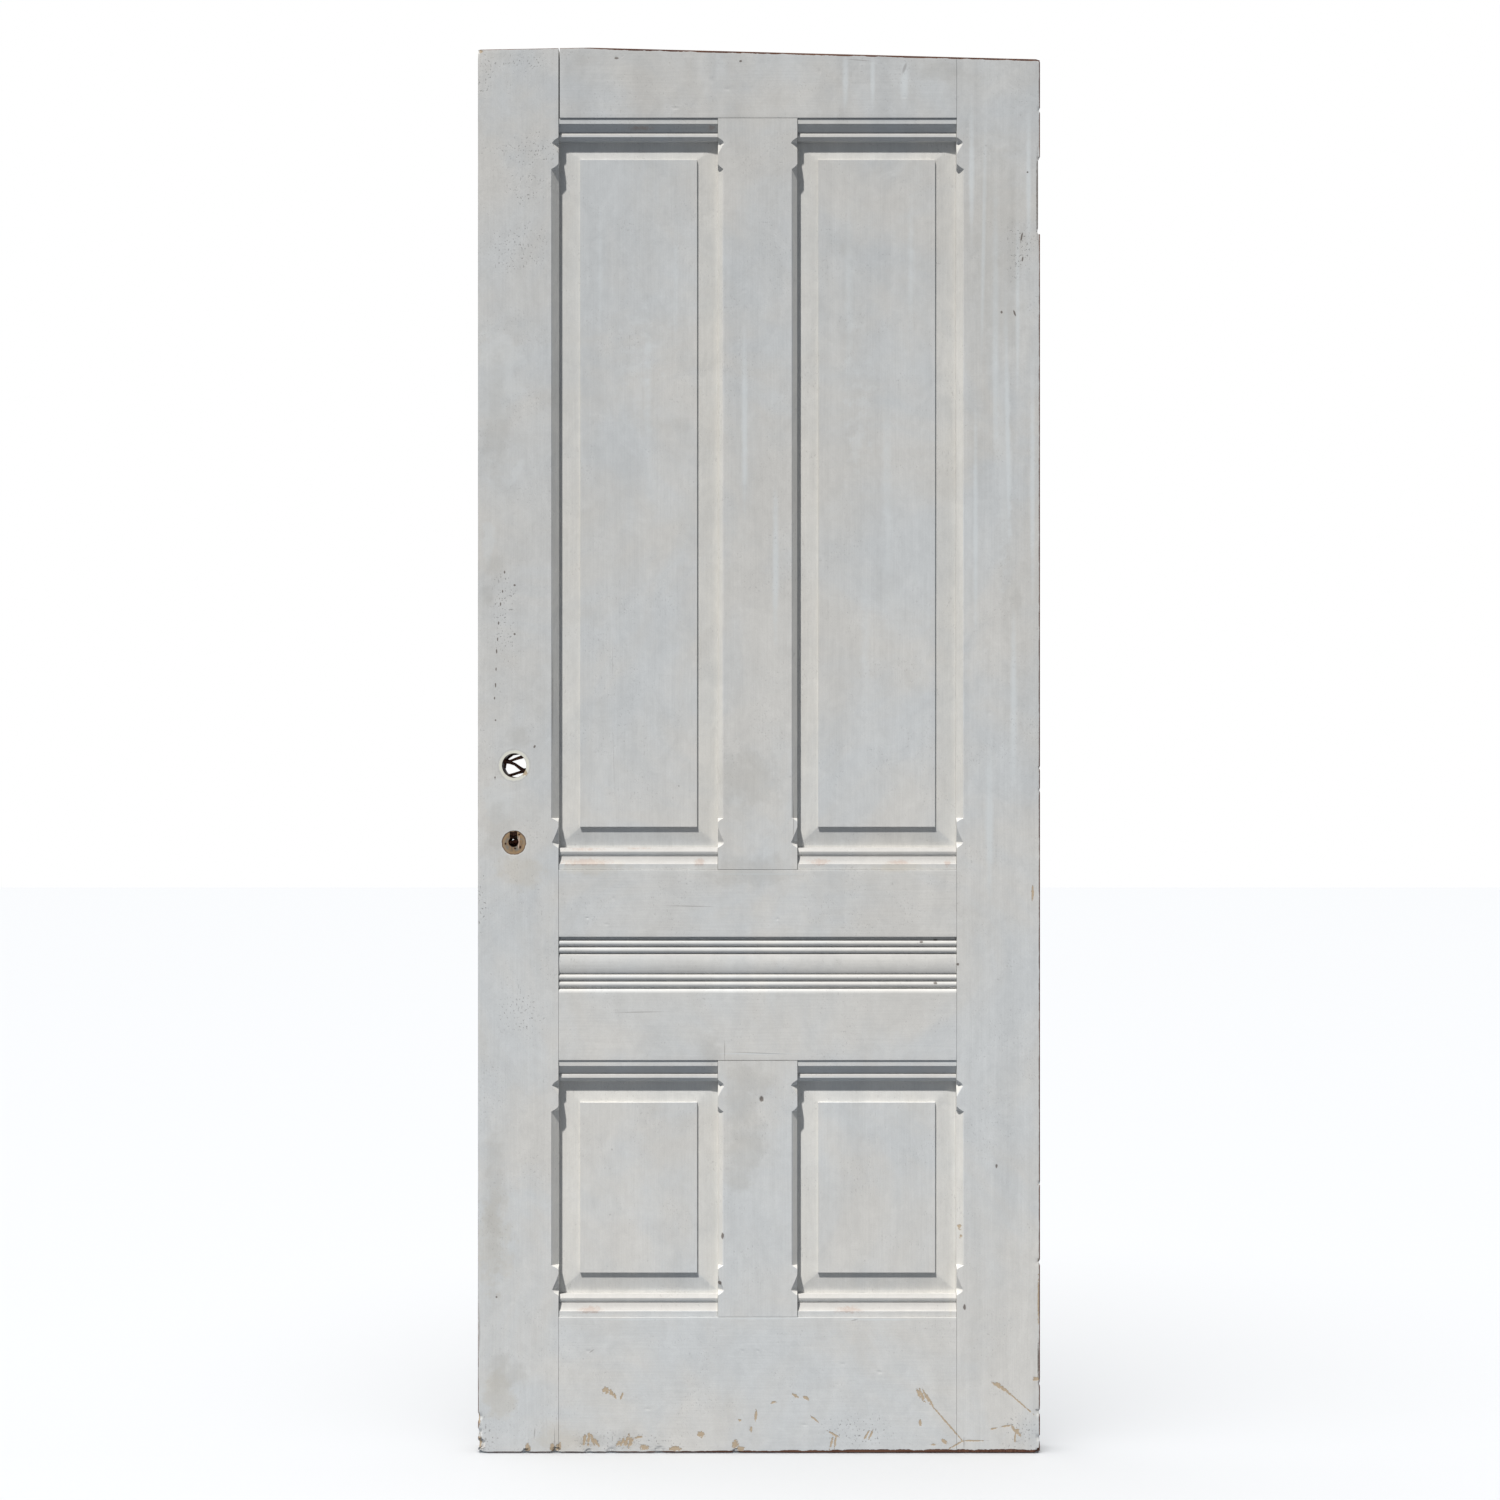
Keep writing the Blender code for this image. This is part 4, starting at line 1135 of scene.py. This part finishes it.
# The stage

# Which way the light of each sun travels
KEY_TRAVEL = Vector((0.57, 1.0, -1.95))
BACK_TRAVEL = Vector((-0.5, -1.0, -1.2))
FLOOR_TRAVEL = Vector((0.1, 0.1, -1.0))


class StageSettings(bpy.types.PropertyGroup):
    camera_distance: length_setting("Camera distance", "From the camera to the front of the leaf", 3.4)
    view_width: length_setting("View width", "Width of the view at the front of the leaf", 2.169)
    aside: length_setting("Camera aside", "How far the camera stands left of the leaf's middle", 0.013)
    key_strength: bpy.props.FloatProperty(
        name="Key strength", description="Power of the high light from the upper left", default=4.5)
    key_softness: bpy.props.FloatProperty(
        name="Key softness", description="Angle that the key light fills",
        default=math.radians(2.0), subtype="ANGLE")
    key_colour: colour_setting("Key colour", "Colour of the key light", (1.0, 0.975, 0.94))
    back_strength: bpy.props.FloatProperty(
        name="Back strength", description="Power of the soft light on the back of the leaf", default=1.35)
    floor_strength: bpy.props.FloatProperty(
        name="Floor strength", description="Power of the light on the floor alone", default=2.9)
    fill_colour: colour_setting("Fill colour", "Colour of the soft light from all round", (0.82, 0.89, 1.0))
    fill_strength: bpy.props.FloatProperty(
        name="Fill strength", description="Power of the soft light from all round", default=0.27)
    floor_colour: colour_setting("Floor colour", "Colour of the pale floor", (0.88, 0.88, 0.875))


class DOOR_OT_stage(bpy.types.Operator):
    """Set the floor, the lights and the camera around the leaf"""
    bl_idname = "door.stage"
    bl_label = "Stage"

    def execute(self, context):
        settings = context.scene.door_stage
        floor = self.make_floor(settings)
        self.make_lights(context.scene, settings, floor)
        self.make_camera(context.scene, settings)
        context.scene.view_settings.view_transform = "Standard"
        return {"FINISHED"}

    def make_floor(self, settings):
        reach = 14.0
        below_foot = 0.001
        bm = bmesh.new()
        place = Matrix.Translation((LEAF_MIDDLE, FRONT, FOOT - below_foot))
        bmesh.ops.create_grid(bm, x_segments=2, y_segments=2, size=reach, matrix=place)
        mesh = bpy.data.meshes.new("floor")
        bm.to_mesh(mesh)
        bm.free()
        material, _, shader = new_material("pale_floor")
        shader.inputs["Base Color"].default_value = (*settings.floor_colour, 1.0)
        shader.inputs["Roughness"].default_value = 0.9
        mesh.materials.append(material)
        floor = bpy.data.objects.new("floor", mesh)
        bpy.context.scene.collection.objects.link(floor)
        floor.visible_diffuse = False
        return floor

    def make_sun(self, scene, name, travel, strength, softness, colour):
        lamp = bpy.data.lights.new(name, "SUN")
        lamp.energy = strength
        lamp.angle = softness
        lamp.color = colour
        sun = bpy.data.objects.new(name, lamp)
        sun.rotation_euler = travel.to_track_quat("-Z", "Y").to_euler()
        sun.location = Vector((LEAF_MIDDLE, FRONT, TOP)) - travel
        scene.collection.objects.link(sun)
        return sun

    def make_lights(self, scene, settings, floor):
        key = self.make_sun(scene, "key", KEY_TRAVEL, settings.key_strength,
                            settings.key_softness, settings.key_colour)
        back = self.make_sun(scene, "back_fill", BACK_TRAVEL, settings.back_strength,
                             math.radians(12), settings.key_colour)
        overhead = self.make_sun(scene, "floor_light", FLOOR_TRAVEL, settings.floor_strength,
                                 math.radians(60), (1.0, 0.995, 0.99))
        leaf = bpy.data.collections.new("lit_leaf")
        for thing in scene.objects:
            if thing.type == "MESH" and thing is not floor:
                leaf.objects.link(thing)
        ground = bpy.data.collections.new("lit_floor")
        ground.objects.link(floor)
        key.light_linking.receiver_collection = leaf
        back.light_linking.receiver_collection = leaf
        overhead.light_linking.receiver_collection = ground
        world = bpy.data.worlds.new("soft_studio")
        world.use_nodes = True
        tree = world.node_tree
        fill = tree.nodes["Background"]
        feed(fill.inputs["Color"], settings.fill_colour)
        fill.inputs["Strength"].default_value = settings.fill_strength
        backdrop = add_node(tree, "ShaderNodeBackground")
        feed(backdrop.inputs["Color"], (1.0, 1.0, 1.0))
        seen = add_node(tree, "ShaderNodeLightPath")
        either = add_node(tree, "ShaderNodeMixShader")
        feed(either.inputs[0], seen.outputs["Is Camera Ray"])
        feed(either.inputs[1], fill.outputs[0])
        feed(either.inputs[2], backdrop.outputs[0])
        feed(tree.nodes["World Output"].inputs["Surface"], either.outputs[0])
        scene.world = world

    def make_camera(self, scene, settings):
        data = bpy.data.cameras.new("camera")
        data.sensor_width = 36.0
        data.lens = data.sensor_width * settings.camera_distance / settings.view_width
        camera = bpy.data.objects.new("camera", data)
        middle_up = (TOP + FOOT) / 2
        camera.location = (LEAF_MIDDLE - settings.aside, FRONT - settings.camera_distance, middle_up)
        camera.rotation_euler = (math.radians(90), 0, 0)
        scene.collection.objects.link(camera)
        scene.camera = camera


class DOOR_PT_sidebar(bpy.types.Panel):
    bl_label = "Worn painted door"
    bl_idname = "DOOR_PT_sidebar"
    bl_space_type = "VIEW_3D"
    bl_region_type = "UI"
    bl_category = "Door"

    def draw(self, context):
        for cls in CLASSES:
            if issubclass(cls, bpy.types.Operator):
                self.layout.operator(cls.bl_idname)
        for settings in (context.scene.door_shape, context.scene.door_paint, context.scene.door_stage):
            for name in settings.__annotations__:
                self.layout.prop(settings, name)


CLASSES = (
    ShapeSettings,
    PaintSettings,
    StageSettings,
    DOOR_OT_stiles,
    DOOR_OT_rails,
    DOOR_OT_muntins,
    DOOR_OT_band,
    DOOR_OT_panels,
    DOOR_OT_mouldings,
    DOOR_OT_torn_wood,
    DOOR_OT_stage,
    DOOR_PT_sidebar,
)


def register():
    for cls in CLASSES:
        bpy.utils.register_class(cls)
    bpy.types.Scene.door_shape = bpy.props.PointerProperty(type=ShapeSettings)
    bpy.types.Scene.door_paint = bpy.props.PointerProperty(type=PaintSettings)
    bpy.types.Scene.door_stage = bpy.props.PointerProperty(type=StageSettings)


def unregister():
    del bpy.types.Scene.door_stage
    del bpy.types.Scene.door_paint
    del bpy.types.Scene.door_shape
    for cls in reversed(CLASSES):
        bpy.utils.unregister_class(cls)


def main():
    register()
    bpy.ops.door.stiles()
    bpy.ops.door.rails()
    bpy.ops.door.muntins()
    bpy.ops.door.band()
    bpy.ops.door.panels()
    bpy.ops.door.mouldings()
    bpy.ops.door.torn_wood()
    bpy.ops.door.stage()


if __name__ == "__main__":
    main()
